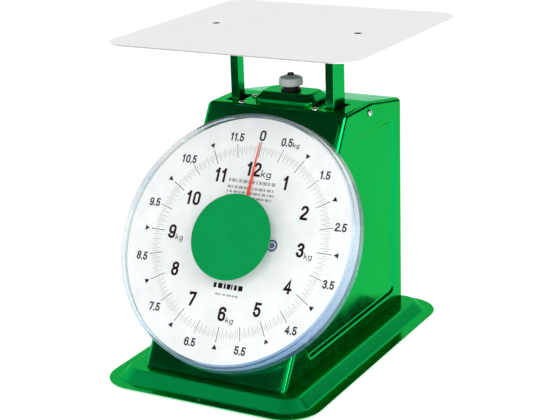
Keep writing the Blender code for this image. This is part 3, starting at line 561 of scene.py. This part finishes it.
def make_casing():
    shell = casing_block("casing_skin", 0, 8)
    shell = cut(shell, [recess_cutter("recess_left", -1, 0), recess_cutter("recess_right", 1, 0)])
    cavity = casing_block("cavity", SHEET, 4)
    cavity = cut(cavity, [recess_cutter("inner_left", -1, SHEET), recess_cutter("inner_right", 1, SHEET)])
    front = extruded("front_opening", [rounded_rectangle(132, 248, 3, 4, (0, -9))], -20, -5)
    bottom = extruded("bottom_opening", [rounded_rectangle(142, 256, 6, 4, (0, 2))], 5, 25)
    slots = [extruded(f"slot_{s}", [rounded_rectangle(18, 31, 2, 5, (s * 57.5, PLATE_CENTRE.y))], 240, 280)
             for s in (-1, 1)]
    shell = cut(shell, [cavity])
    shell = cut(shell, [transformed(front, DIAL_SPACE), bottom, *slots])
    piece("casing_skin", shell, GREEN, BODY, ["casing"], smooth=40)

    panel_back, panel_front = -10.9, -9.7
    panel_low = (PANEL_LOW.z - DIAL_CENTRE.z - panel_back * math.sin(TILT)) / math.cos(TILT)
    panel_high = (PANEL_HIGH.z - DIAL_CENTRE.z - panel_front * math.sin(TILT)) / math.cos(TILT)
    outline = rounded_rectangle(153, panel_high - panel_low, 4, 6, (0, (panel_low + panel_high) / 2))
    panel = extruded("front_panel_skin", [outline, circle(0, 0, 9)], panel_back, panel_front, 0.35, 3)
    piece("front_panel_skin", panel, GREEN, BODY, ["front_panel"], DIAL_SPACE)


def make_housing():
    centre = ((HOUSING_LOW.x + HOUSING_HIGH.x) / 2, (HOUSING_LOW.y + HOUSING_HIGH.y) / 2)
    size = HOUSING_HIGH - HOUSING_LOW
    low, high = HOUSING_LOW.z, HOUSING_HIGH.z
    top = eased([(0, low), (0.2, low + 3.4), (6.6, high), (14.0, high)], [2.2, 2.8], 6)
    under = eased([(1.3, low), (1.5, low + 2.8), (7.6, high - SHEET), (14.0, high - SHEET)], [1.4, 1.8], 4)
    sections = [(rounded_rectangle(size.x - 2 * d, size.y - 2 * d, max(10 - d * 0.45, 2), 8, centre), z)
                for d, z in under[::-1] + top]
    housing = cut(lofted("top_housing_skin", sections), [drill("stem_hole", 5.5, KNOB_X, KNOB_Y, 250, 290)])
    piece("top_housing_skin", housing, GREEN, BODY, ["top_housing"])


# ---------------------------------------------------------------- screws

HEAD_R, HEAD_H = 3.6, 2.2


def cross_screw(node, finish, body, seat, direction, head=HEAD_R, height=HEAD_H, turn=0.6):
    """A pan-head screw with a cross recess; seat is where the head meets the sheet."""
    name = f"{node}_head"
    profile = [(0, -6), (1.6, -6), (1.9, -1.0), (1.9, 0)]
    profile += eased([(head, 0), (head, height * 0.62), (0.8, height)], [height * 0.5], 5)[:-1]
    profile += [(head * 0.55, height * 0.97), (0, height)]
    mesh = turned(name, profile, 32)
    blade = [extruded(f"blade_{k}", [rounded_rectangle(head * 1.05, 0.75, 0.2, 2)], height - 1.1, height + 1)
             for k in range(2)]
    blade[1].transform(Matrix.Rotation(math.pi / 2, 4, "Z"))
    mesh = cut(mesh, blade)
    spin = Matrix.Rotation(turn, 4, "Z")
    aim = Vector(direction).to_track_quat("Z", "Y").to_matrix().to_4x4()
    piece(name, mesh, finish, body, [node], Matrix.Translation(seat) @ aim @ spin, 30)


def make_screws():
    turns = {"front_left": 0.3, "front_right": 1.1, "rear_left": 0.8, "rear_right": 0.2}
    for key, turn in turns.items():
        low, high = box_mm(f"top_screw_{key}")
        seat = ((low.x + high.x) / 2, (low.y + high.y) / 2, high.z - HEAD_H)
        cross_screw(f"top_screw_{key}", ZINC, BODY, seat, (0, 0, 1), turn=turn)
        low, high = box_mm(f"base_screw_{key}")
        seat = ((low.x + high.x) / 2, (low.y + high.y) / 2, low.z + HEAD_H)
        cross_screw(f"base_screw_{key}", ZINC, BODY, seat, (0, 0, -1), turn=turn)
    for side, word in ((-1, "left"), (1, "right")):
        low, high = box_mm(f"side_screw_{word}")
        seat = (side * (CASING_HIGH.x + 0.3), (low.y + high.y) / 2, (low.z + high.z) / 2)
        cross_screw(f"side_screw_{word}", ZINC, BODY, seat, (side, 0, 0))
        low, high = box_mm(f"platform_screw_{word}")
        seat = ((low.x + high.x) / 2, (low.y + high.y) / 2, PLATE_HIGH.z - 0.95)  # flush with the plate
        cross_screw(f"platform_screw_{word}", BLACKENED, LOAD, seat, (0, 0, 1), 3.9, 0.85, 0.4)


# ---------------------------------------------------------------- zero knob

KNOB_SKIRT_Z = 276.4  # below this height the knob is a dark neck


def make_knob():
    at = Matrix.Translation((KNOB_X, KNOB_Y, 0))
    collar_low, collar_high = box_mm("knob_collar")
    collar = [(3.3, collar_low.z), (5.2, collar_low.z), (5.2, 271.1)]
    collar += eased([(10.6, 271.1), (11.0, 272.6), (9.6, collar_high.z), (3.3, collar_high.z)], [0.8, 0.5], 4)
    piece("knob_collar_ring", turned("knob_collar_ring", collar, 48), BLACK, BODY, ["knob_collar"],
          at)

    knob_low, knob_high = box_mm("zero_knob")
    profile = [(3.2, knob_low.z)]
    profile += eased([(8.6, knob_low.z), (8.9, KNOB_SKIRT_Z), (12.4, KNOB_SKIRT_Z + 0.3),
                      (13.0, KNOB_SKIRT_Z + 3.4), (12.2, knob_high.z - 2.4), (6.0, knob_high.z - 0.2),
                      (3.2, knob_high.z)], [0.3, 0.6, 2.2, 1.8, 0.4], 5)
    knob = turned("zero_knob_grip", profile, 96)
    made = piece("zero_knob_grip", knob, [WHITE, BLACK], "zero_adjuster", ["zero_knob"], at)
    for face in made.data.polygons:
        if face.center.z / MM < KNOB_SKIRT_Z:
            face.material_index = 1

    low, high = box_mm("adjusting_screw")
    stem = [(0, low.z), (2.4, low.z), (2.9, low.z + 0.6), (2.9, knob_high.z + 0.3), (3.6, knob_high.z + 0.3)]
    stem += eased([(3.6, high.z - 1.2), (3.4, high.z - 0.4), (1.0, high.z), (0, high.z)], [0.4, 0.3], 3)
    stem = cut(turned("adjusting_screw_stem", stem, 40),
               [extruded("driver_slot", [rounded_rectangle(9, 0.9, 0.2, 2)], high.z - 1.0, high.z + 1)])
    piece("adjusting_screw_stem", stem, DARK_STEEL, "zero_adjuster", ["adjusting_screw"], at)


# ---------------------------------------------------------------- load frame

def make_load_frame():
    corner = 26.0
    size = PLATE_HIGH - PLATE_LOW
    outline = rounded_rectangle(size.x, size.y, corner, 16, PLATE_CENTRE.xy)
    holes = [circle(x, PLATE_CENTRE.y, 4.2, 32) for x in (-83, 83)]
    plate = extruded("platform_plate", [outline, *holes], PLATE_LOW.z, PLATE_HIGH.z, 0.3, 3)
    made = piece("platform_plate", plate, [STAINLESS, PAINTED_SHADE_UNDERSIDE], LOAD, ["platform"])
    # the downward faces get the painted shade of the underside
    for face in made.data.polygons:
        if face.normal.z < -0.9:
            face.material_index = 1
    low, high = box_mm("platform_bar")
    outline = rounded_rectangle(high.x - low.x, high.y - low.y, 5, 6, (0, PLATE_CENTRE.y))
    bar = extruded("platform_bar_strip", [outline], low.z, high.z, 0.5, 2)
    piece("platform_bar_strip", bar, STEEL, LOAD, ["platform_bar"])

    sheet, bend = 2.0, 0.9
    for side, word in ((-1, "left"), (1, "right")):
        outer, inner = POST_HIGH.x, POST_LOW.x
        front, back = POST_LOW.y, POST_HIGH.y
        angle = [(inner, front)]
        angle += arc(outer - bend, front + bend, bend, bend, -90, 0, 8)
        angle += [(outer, back), (outer - sheet, back)]
        angle += arc(outer - sheet - 0.3, front + sheet + 0.3, 0.3, 0.3, 0, -90, 3)
        angle += [(inner, front + sheet)]
        outline = [(side * x, y) for x, y in angle]
        mesh = extruded(f"post_{word}_angle", [outline], POST_LOW.z, POST_HIGH.z, 0.25, 2)
        piece(f"post_{word}_angle", mesh, GREEN, LOAD, [f"post_{word}"])


# ---------------------------------------------------------------- dial

DIAL_R, COVER_R, COVER_RIM_R, COVER_RIM_H = 130.5, 134.4, 131.4, 12.6
DOME_H, DOME_R, WALL, HUB_R = 18.8, 50.0, 1.8, 44.8
FULL_SCALE_KG = 12


def make_dial_body():
    pan = [(12, -9.4), (40, -9.4), (44, -8.4), (48, -2.1), (130.4, -2.1), (130.4, -7), (131.4, -7),
           (131.4, -1.1), (47.4, -1.1), (43.2, -8.4), (39.6, -8.4), (12, -8.4)]
    piece("dial_pan_skin", turned("dial_pan_skin", pan, 160), GREEN, BODY, ["dial_pan"], DIAL_SPACE)
    plate = turned("dial_face", [(8, -0.8), (DIAL_R - 0.2, -0.8), (DIAL_R, -0.6), (DIAL_R, -0.2),
                                 (DIAL_R - 0.2, 0), (8, 0)], 192)
    piece("dial_face", plate, ENAMEL, BODY, ["dial_plate"], DIAL_SPACE)

    outside = eased([(COVER_R, -4.0), (COVER_RIM_R + 0.4, COVER_RIM_H - 1.5),
                     (COVER_RIM_R - 3.2, COVER_RIM_H + 0.5), (90, DOME_H - 2.2), (DOME_R, DOME_H),
                     (0, DOME_H)], [1.6, 3.5, 60, 60], 8)
    inside = eased([(0, DOME_H - WALL), (DOME_R, DOME_H - WALL), (90, DOME_H - 2.2 - WALL),
                    (COVER_RIM_R - 4.0, COVER_RIM_H + 0.5 - WALL), (COVER_RIM_R - 2.0, COVER_RIM_H - 3.2),
                    (COVER_R - WALL, -4.0)], [60, 60, 2.2, 0.8], 8)
    cover = turned("dial_cover_shell", outside + inside, 192)
    cover = cut(cover, [drill("rivet_hole", 1.8, 0, 0, 10, 25)])
    made = piece("dial_cover_shell", cover, [CLEAR, RIM_BLUE], BODY, ["dial_cover"], DIAL_SPACE, 50)
    inverse = DIAL_SPACE.inverted()
    for face in made.data.polygons:
        centre = inverse @ (face.center / MM)
        if math.hypot(centre.x, centre.y) > COVER_RIM_R - 3.4:
            face.material_index = 1
    made.visible_shadow = False
    made.visible_diffuse = False

    disc = [(2.0, DOME_H + 0.3)]
    disc += eased([(HUB_R - 0.3, DOME_H + 0.3), (HUB_R, DOME_H + 0.7), (HUB_R - 0.7, DOME_H + 1.4),
                   (2.0, DOME_H + 1.4)], [0.2, 0.4], 4)
    piece("hub_disc_face", turned("hub_disc_face", disc, 96), DISC_GREEN, BODY, ["hub_disc"],
          DIAL_SPACE)
    rivet = [(0, DOME_H - 4), (1.5, DOME_H - 4), (1.5, DOME_H + 1.7), (2.1, DOME_H + 1.7)]
    rivet += eased([(2.2, DOME_H + 2.0), (1.6, DOME_H + 2.7), (0, DOME_H + 2.9)], [0.3], 4)
    piece("hub_rivet_head", turned("hub_rivet_head", rivet, 32), DISC_GREEN, BODY, ["hub_rivet"],
          DIAL_SPACE)

    at = DIAL_SPACE @ Matrix.Translation((38.7, 0.2, 0))
    seal = [(0, 0.3), (5.6, 0.3), (6.0, 0.6), (6.0, 1.0), (5.4, 1.4), (4.4, 1.1), (3.2, 1.0), (2.6, 1.3),
            (0, 1.5)]
    piece("seal_rivet_body", turned("seal_rivet_body", seal, 48), SEAL, BODY, ["seal_rivet"], at)
    rings = [turned("seal_ring", [(4.5, 1.15), (5.9, 1.0), (5.95, 1.2), (5.3, 1.6), (4.6, 1.45)], 48),
             turned("seal_dot", [(0.9, 1.35), (2.4, 1.25), (2.4, 1.45), (0.9, 1.65)], 32)]
    piece("seal_rivet_ink", joined("seal_rivet_ink", rings), NAVY, BODY, (), at)


# ---------------------------------------------------------------- printed figures

def stadium(low_v, high_v, radius_v, low_u=0.0, high_u=1.0):
    """A closed narrow bowl between two heights."""
    mid_u, radius_u = (low_u + high_u) / 2, (high_u - low_u) / 2
    upper = arc(mid_u, high_v - radius_v, radius_u, radius_v, 0, 180, 10)
    lower = arc(mid_u, low_v + radius_v, radius_u, radius_v, 180, 360, 10)
    return upper + lower + upper[:1]


# Each glyph is its width, as a part of a figure's width, and its strokes along the middle of the line.
SIX = [
    arc(0.5, 0.80, 0.5, 0.20, 8, 180, 10) + arc(0.5, 0.21, 0.5, 0.21, 180, 360, 10)
    + arc(0.5, 0.40, 0.5, 0.20, 0, 168, 10)
]
GLYPHS = {
    "0": (1.0, [stadium(0, 1, 0.24)]),
    "1": (0.68, [[(0.61, 0.0), (0.61, 1.0)], [(-0.12, 0.80), (0.25, 0.85), (0.60, 1.0)]]),
    "2": (1.0, [arc(0.5, 0.77, 0.5, 0.23, 170, -10, 12)
                + [(0.90, 0.56), (0.0, 0.10), (0.0, 0.0), (1.0, 0.0)]]),
    "3": (1.0, [arc(0.5, 0.78, 0.46, 0.22, 165, -60, 12) + [(0.40, 0.54)]
                + arc(0.5, 0.27, 0.5, 0.27, 70, -165, 14)]),
    "4": (1.05, [[(0.72, 0.0), (0.72, 1.0), (0.0, 0.26), (1.0, 0.26)]]),
    "5": (1.0, [[(0.92, 1.0), (0.14, 1.0), (0.08, 0.52)] + arc(0.5, 0.31, 0.5, 0.31, 118, -160, 16)]),
    "6": (1.0, SIX),
    "7": (1.0, [[(0.0, 0.93), (0.0, 1.0), (1.0, 1.0), (0.92, 0.80), (0.36, 0.0)]]),
    "8": (1.0, [stadium(0.0, 0.54, 0.26), stadium(0.54, 1.0, 0.22, 0.05, 0.95)]),
    "9": (1.0, [[(1 - u, 1 - v) for u, v in stroke] for stroke in SIX]),
    ".": (0.15, [[(0.5, 0.0), (0.5, 0.02)]]),
    "k": (0.85, [[(0.0, 0.0), (0.0, 1.0)], [(0.85, 0.62), (0.05, 0.26)], [(0.35, 0.40), (0.9, 0.0)]]),
    "g": (0.95, [arc(0.45, 0.33, 0.45, 0.30, 90, 450, 20),
                 [(0.9, 0.64), (0.9, -0.10)] + arc(0.45, -0.10, 0.45, 0.22, 0, -150, 10)]),
}


def ribbon(bm, points, width, low, high):
    """A printed line: a flat strip of constant width with mitred corners, as a thin closed solid."""
    points = [Vector(p) for p in points]
    points = [p for i, p in enumerate(points) if i == 0 or (p - points[i - 1]).length > 1e-4]
    closed = (points[0] - points[-1]).length < 1e-3
    if closed:
        points = points[:-1]
    count = len(points)
    corners = []
    for i, point in enumerate(points):
        before = points[i - 1] if i or closed else None
        after = points[(i + 1) % count] if i < count - 1 or closed else None
        one = (point - before).normalized() if before is not None else None
        two = (after - point).normalized() if after is not None else None
        one, two = one or two, two or one
        normal = Vector((-one.y - two.y, one.x + two.x)).normalized()
        stretch = 1 / max(normal.dot(Vector((-one.y, one.x))), 0.5)
        side = normal * (width / 2 * stretch)
        corners.append([bm.verts.new((*(point + s * side), z)) for s in (1, -1) for z in (low, high)])
    for i in range(count if closed else count - 1):
        a, b = corners[i], corners[(i + 1) % count]
        bm.faces.new((a[1], a[3], b[3], b[1]))
        bm.faces.new((a[0], b[0], b[2], a[2]))
        bm.faces.new((a[0], a[1], b[1], b[0]))
        bm.faces.new((a[2], b[2], b[3], a[3]))
    if not closed:
        for end in (corners[0], corners[-1]):
            bm.faces.new((end[0], end[1], end[3], end[2]))


PRINT_LOW, PRINT_HIGH = 0.02, 0.07
FIGURE_SHIFTS = {3: -5.6, 9: -3.5, 10: 2.0, 12: -1.4}  # sideways, to make room for "kg" and two figures


def with_square_ends(points, reach):
    """The points of an open stroke, lengthened at both ends; a closed stroke stays as it is."""
    points = [Vector(p) for p in points]
    if (points[0] - points[-1]).length > 1e-3:
        points[0] = points[0] + (points[0] - points[1]).normalized() * reach
        points[-1] = points[-1] + (points[-1] - points[-2]).normalized() * reach
    return points


def lettering(bm, text, centre_x, base_y, height, stroke, width, gap, anchor="middle"):
    """Writes figures with their strokes inside a box of the given height."""
    widths = [GLYPHS[c][0] * width for c in text]
    total = sum(widths) + gap * (len(text) - 1)
    x = centre_x - total / 2 if anchor == "middle" else centre_x
    for character, across in zip(text, widths):
        for stroke_points in GLYPHS[character][1]:
            inner = across - stroke
            points = [(x + stroke / 2 + u * inner, base_y + stroke / 2 + v * (height - stroke))
                      for u, v in stroke_points]
            ribbon(bm, with_square_ends(points, stroke / 2), stroke, PRINT_LOW, PRINT_HIGH)
        x += across + gap
    return x


def on_dial(kilograms, radius):
    angle = 2 * math.pi * kilograms / FULL_SCALE_KG
    return Vector((radius * math.sin(angle), radius * math.cos(angle)))


def tick(bm, kilograms, inner, outer, width):
    ribbon(bm, [on_dial(kilograms, inner), on_dial(kilograms, outer)], width, PRINT_LOW, PRINT_HIGH)


def print_piece(name, bm, ink):
    mesh = finished(bm, name)
    piece(name, mesh, ink, BODY, (), DIAL_SPACE, 30, weighted=False)


def make_print():
    figures, small_figures, units = bmesh.new(), bmesh.new(), bmesh.new()
    lines, pale_lines, arrows, small_print = bmesh.new(), bmesh.new(), bmesh.new(), bmesh.new()

    bold_height, bold_width, bold_stroke = 14.8, 8.4, 2.65
    for kilograms in range(1, FULL_SCALE_KG + 1):
        centre = on_dial(kilograms, 75.7)
        text = str(kilograms)
        shift = FIGURE_SHIFTS.get(kilograms, 0.0)
        end = lettering(figures, text, centre.x + shift, centre.y - bold_height / 2, bold_height, bold_stroke,
                        bold_width, 1.8)
        if kilograms == FULL_SCALE_KG:
            lettering(units, "kg", end - 0.6, centre.y - bold_height / 2, 7.6, 1.0, 6.2, 0.7, "left")
        elif kilograms % 3 == 0:
            lettering(units, "kg", end - 0.6, centre.y - bold_height / 2 - 0.6, 6.0, 0.75, 4.7, 0.6, "left")

    lettering(small_figures, "0", 0, 106.0, 11.4, 2.0, 6.8, 1.0)
    for half in range(1, 2 * FULL_SCALE_KG, 2):
        centre = on_dial(half / 2, 112.0)
        text = f"{half / 2:.1f}"
        end = lettering(small_figures, text, centre.x, centre.y - 5.1, 8.8, 1.6, 5.0, 1.0)
        if half == 1:
            lettering(units, "kg", end - 0.3, centre.y - 5.2, 5.2, 0.75, 4.0, 0.5, "left")

    steps_per_kilogram = 20
    for step in range(FULL_SCALE_KG * steps_per_kilogram):
        kilograms = step / steps_per_kilogram
        if step % steps_per_kilogram == 0:
            tick(lines, kilograms, 88.5, 105.0, 0.7)
            if step:
                corners = [on_dial(kilograms, 106.9), on_dial(kilograms + 0.048, 112.0),
                           on_dial(kilograms - 0.048, 112.0)]
                base = [arrows.verts.new((*c, PRINT_LOW)) for c in corners]
                top = [arrows.verts.new((*c, PRINT_HIGH)) for c in corners]
                arrows.faces.new(base)
                arrows.faces.new(top)
                for i in range(3):
                    arrows.faces.new((base[i - 1], base[i], top[i], top[i - 1]))
        elif step % (steps_per_kilogram // 2) == 0:
            tick(lines, kilograms, 88.7, 103.2, 0.6)
        elif step % 2 == 0:
            tick(pale_lines, kilograms, 91.0, 100.6, 0.45)
        else:
            tick(pale_lines, kilograms, 94.5, 99.8, 0.4)

    # Rows of plain bars stand in for the small print: height, thickness, half width, first length.
    rows = [(62.0, 3.6, 27.5, 3), (55.2, 2.8, 27.5, 4), (50.2, 2.4, 27.5, 5), (45.2, 2.2, 27.5, 4),
            (-47.6, 5.2, 17.0, 1), (-56.4, 1.8, 13.0, 4)]
    for row, (y, thick, half_width, seed) in enumerate(rows):
        x, k = -half_width, seed
        target = figures if row == 4 else small_print
        while x < half_width - 1:
            length = min(1.4 + (k * 7 % 5) * 0.9, half_width - x)
            ribbon(target, [(x, y), (x + length, y)], thick, PRINT_LOW, PRINT_HIGH)
            x += length + 0.9 + (k * 3 % 4) * 0.35
            k += 1

    print_piece("dial_figures", figures, INK)
    print_piece("dial_small_figures", small_figures, GREY_INK)
    print_piece("dial_units", units, GREY_INK)
    print_piece("dial_lines", lines, GREY_INK)
    print_piece("dial_fine_lines", pale_lines, PALE_INK)
    print_piece("dial_arrows", arrows, INK)
    print_piece("dial_small_print", small_print, PALE_INK)


def make_pointer():
    right_side = [(3.0, -30), (3.6, 0), (1.75, 46), (0.45, 103.6)]
    left_side = [(-x, y) for x, y in right_side[::-1]]
    blade = [left_side[-1], *right_side, *left_side[:-1]]
    mesh = extruded("pointer_blade", [blade, circle(0, 0, 3.3)], 3.3, 4.0, 0.12, 2)
    piece("pointer_blade", mesh, RED, "pointer_body", ["pointer"], DIAL_SPACE)


# ---------------------------------------------------------------- inside


def make_springs():
    """Steel copies of the CAD springs, standing in for them where they are."""
    for word in ("left", "right"):
        node = frame["nodes"][f"main_spring_{word}"]
        made = bpy.data.objects.new(f"main_spring_{word}_coil", node.data.copy())
        bpy.context.scene.collection.objects.link(made)
        made.data.materials.clear()
        made.data.materials.append(STEEL)
        made.data.shade_smooth()
        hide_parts(f"main_spring_{word}")
        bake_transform(made)


def finish_cad_nodes():
    """Better materials for the CAD pieces that stay as they are."""
    by_slot = {"steel": STEEL, "zinc": ZINC, "brass": BRASS, "rubber": RUBBER, "black": BLACK,
               "dark_steel": DARK_STEEL, "green": GREEN, "stainless": STAINLESS, "white": WHITE,
               "enamel": ENAMEL, "clear": CLEAR, "red": RED, "seal": SEAL}
    slots = {row["node"]: row["material_slot"] for row in frame["record"]["subparts"]}
    for name, node in frame["nodes"].items():
        node.data.materials.clear()
        node.data.materials.append(by_slot[slots[name]])
        node.data.shade_smooth()
        node.data.set_sharp_from_angle(angle=math.radians(SHARP_ANGLE))


# ---------------------------------------------------------------- studio

def look_at(obj, target, roll=0.0):
    forward = (Vector(target) - obj.location).normalized()
    right = forward.cross(Vector((0, 0, 1))).normalized()
    up = right.cross(forward)
    right, up = right * math.cos(roll) + up * math.sin(roll), up * math.cos(roll) - right * math.sin(roll)
    obj.matrix_world = Matrix.Translation(obj.location) @ Matrix((right, up, -forward)).transposed().to_4x4()


def softbox(name, location, target, size, power):
    """A square area light aimed at a point."""
    data = bpy.data.lights.new(name, "AREA")
    data.shape = "RECTANGLE"
    data.size = data.size_y = size
    data.energy = power
    light = bpy.data.objects.new(name, data)
    bpy.context.scene.collection.objects.link(light)
    light.location = location
    look_at(light, target)
    return light


def make_studio():
    scene = bpy.context.scene
    scene.view_settings.view_transform = "Standard"
    data = bpy.data.cameras.new("camera")
    data.sensor_width = 36
    data.lens = 95.75
    data.clip_end = 20
    camera = bpy.data.objects.new("camera", data)
    scene.collection.objects.link(camera)
    camera.location = (0.7248, -1.3046, 0.6304)
    look_at(camera, (0, 0.0106, 0.1477), math.radians(-1.79))
    scene.camera = camera

    bm = bmesh.new()
    bmesh.ops.create_grid(bm, x_segments=4, y_segments=4, size=6)
    floor_mesh = finished(bm, "floor")
    floor = bpy.data.objects.new("floor", floor_mesh)
    scene.collection.objects.link(floor)
    pale = Finish("pale_floor", (0.93, 0.93, 0.93), 0.9)
    pale.shader.inputs["Emission Color"].default_value = (1, 1, 1, 1)
    pale.shader.inputs["Emission Strength"].default_value = 0.5
    pale.vary_colour(pale.noise(3, 2), 0.995, 1.005)
    floor_mesh.materials.append(pale.material)

    scene.world = studio_world()
    # painted dark reflections: flag_front darkens the floor before the scale on the left as glossy surfaces see
    # it; flag_right, a thin strip along the tray's right side, is a painted contact shadow seen only in
    # reflections
    make_flag("flag_front", (-0.85, -1.15), 2.0, 1.7)
    make_flag("flag_right", (0.129, 0.03), 0.016, 0.26)
    softbox("key_right", (1.5, -0.7, 1.1), (0, 0, 0.15), 1.1, 13)
    front = softbox("front", (0.5, -1.9, 1.5), (0, 0, 0.15), 1.0, 11.5)
    front.visible_glossy = False
    softbox("glint", (-0.35, -1.5, 0.75), (0, -0.15, 0.02), 0.05, 0.6)


def make_flag(name, centre, width, depth):
    """A black sheet on the floor that only shows as a dark place in glossy surfaces: a painted dark reflection."""
    bm = bmesh.new()
    bmesh.ops.create_grid(bm, x_segments=1, y_segments=1, size=0.5)
    flag = bpy.data.objects.new(name, finished(bm, name))
    bpy.context.scene.collection.objects.link(flag)
    flag.location = (*centre, 0.002)
    flag.scale = (width, depth, 1)
    dark_reflection = Finish("painted_dark_reflection", (0.01, 0.012, 0.01), 0.95)
    dark_reflection.vary_colour(dark_reflection.noise(20, 2))
    flag.data.materials.append(dark_reflection.material)
    for ray in ("camera", "diffuse", "shadow", "transmission", "volume_scatter"):
        setattr(flag, f"visible_{ray}", False)


def studio_world():
    """A white cove for the camera; other rays also see a dim ceiling and two dark places, one before the
    scale on the left and one behind it on the right."""
    world = bpy.data.worlds.new("studio")
    world.use_nodes = True
    nodes, links = world.node_tree.nodes, world.node_tree.links
    background = nodes["Background"]
    place = nodes.new("ShaderNodeTexCoord")

    def brightness(direction, start, end, darkest, brightest):
        towards = nodes.new("ShaderNodeVectorMath")
        towards.operation = "DOT_PRODUCT"
        towards.inputs[1].default_value = Vector(direction).normalized()
        fall = nodes.new("ShaderNodeMapRange")
        fall.inputs["From Min"].default_value = start
        fall.inputs["From Max"].default_value = end
        fall.inputs["To Min"].default_value = darkest
        fall.inputs["To Max"].default_value = brightest
        links.new(place.outputs["Generated"], towards.inputs[0])
        links.new(towards.outputs["Value"], fall.inputs["Value"])
        return fall.outputs["Result"]

    def combined(operation, one, two):
        node = nodes.new("ShaderNodeMath")
        node.operation = operation
        links.new(one, node.inputs[0])
        links.new(two, node.inputs[1])
        return node.outputs["Value"]

    front_left = brightness((-0.46, -0.74, 0.50), 0.948, 0.985, 0.95, 0.02)
    rear_right = brightness((0.9, 0.3, -0.3), 0.43, 0.485, 1.0, 0.01)
    ceiling = brightness((0, 0, 1), 0.5, 0.9, 1.0, 0.45)
    path = nodes.new("ShaderNodeLightPath")
    shade = combined("MULTIPLY", combined("MULTIPLY", front_left, rear_right), ceiling)
    links.new(combined("MAXIMUM", shade, path.outputs["Is Camera Ray"]), background.inputs["Strength"])
    background.inputs["Color"].default_value = (1, 1, 1, 1)
    return world


make_studio()
make_base()
make_casing()
make_housing()
make_screws()
make_knob()
make_load_frame()
make_dial_body()
make_print()
make_pointer()
make_springs()
finish_cad_nodes()
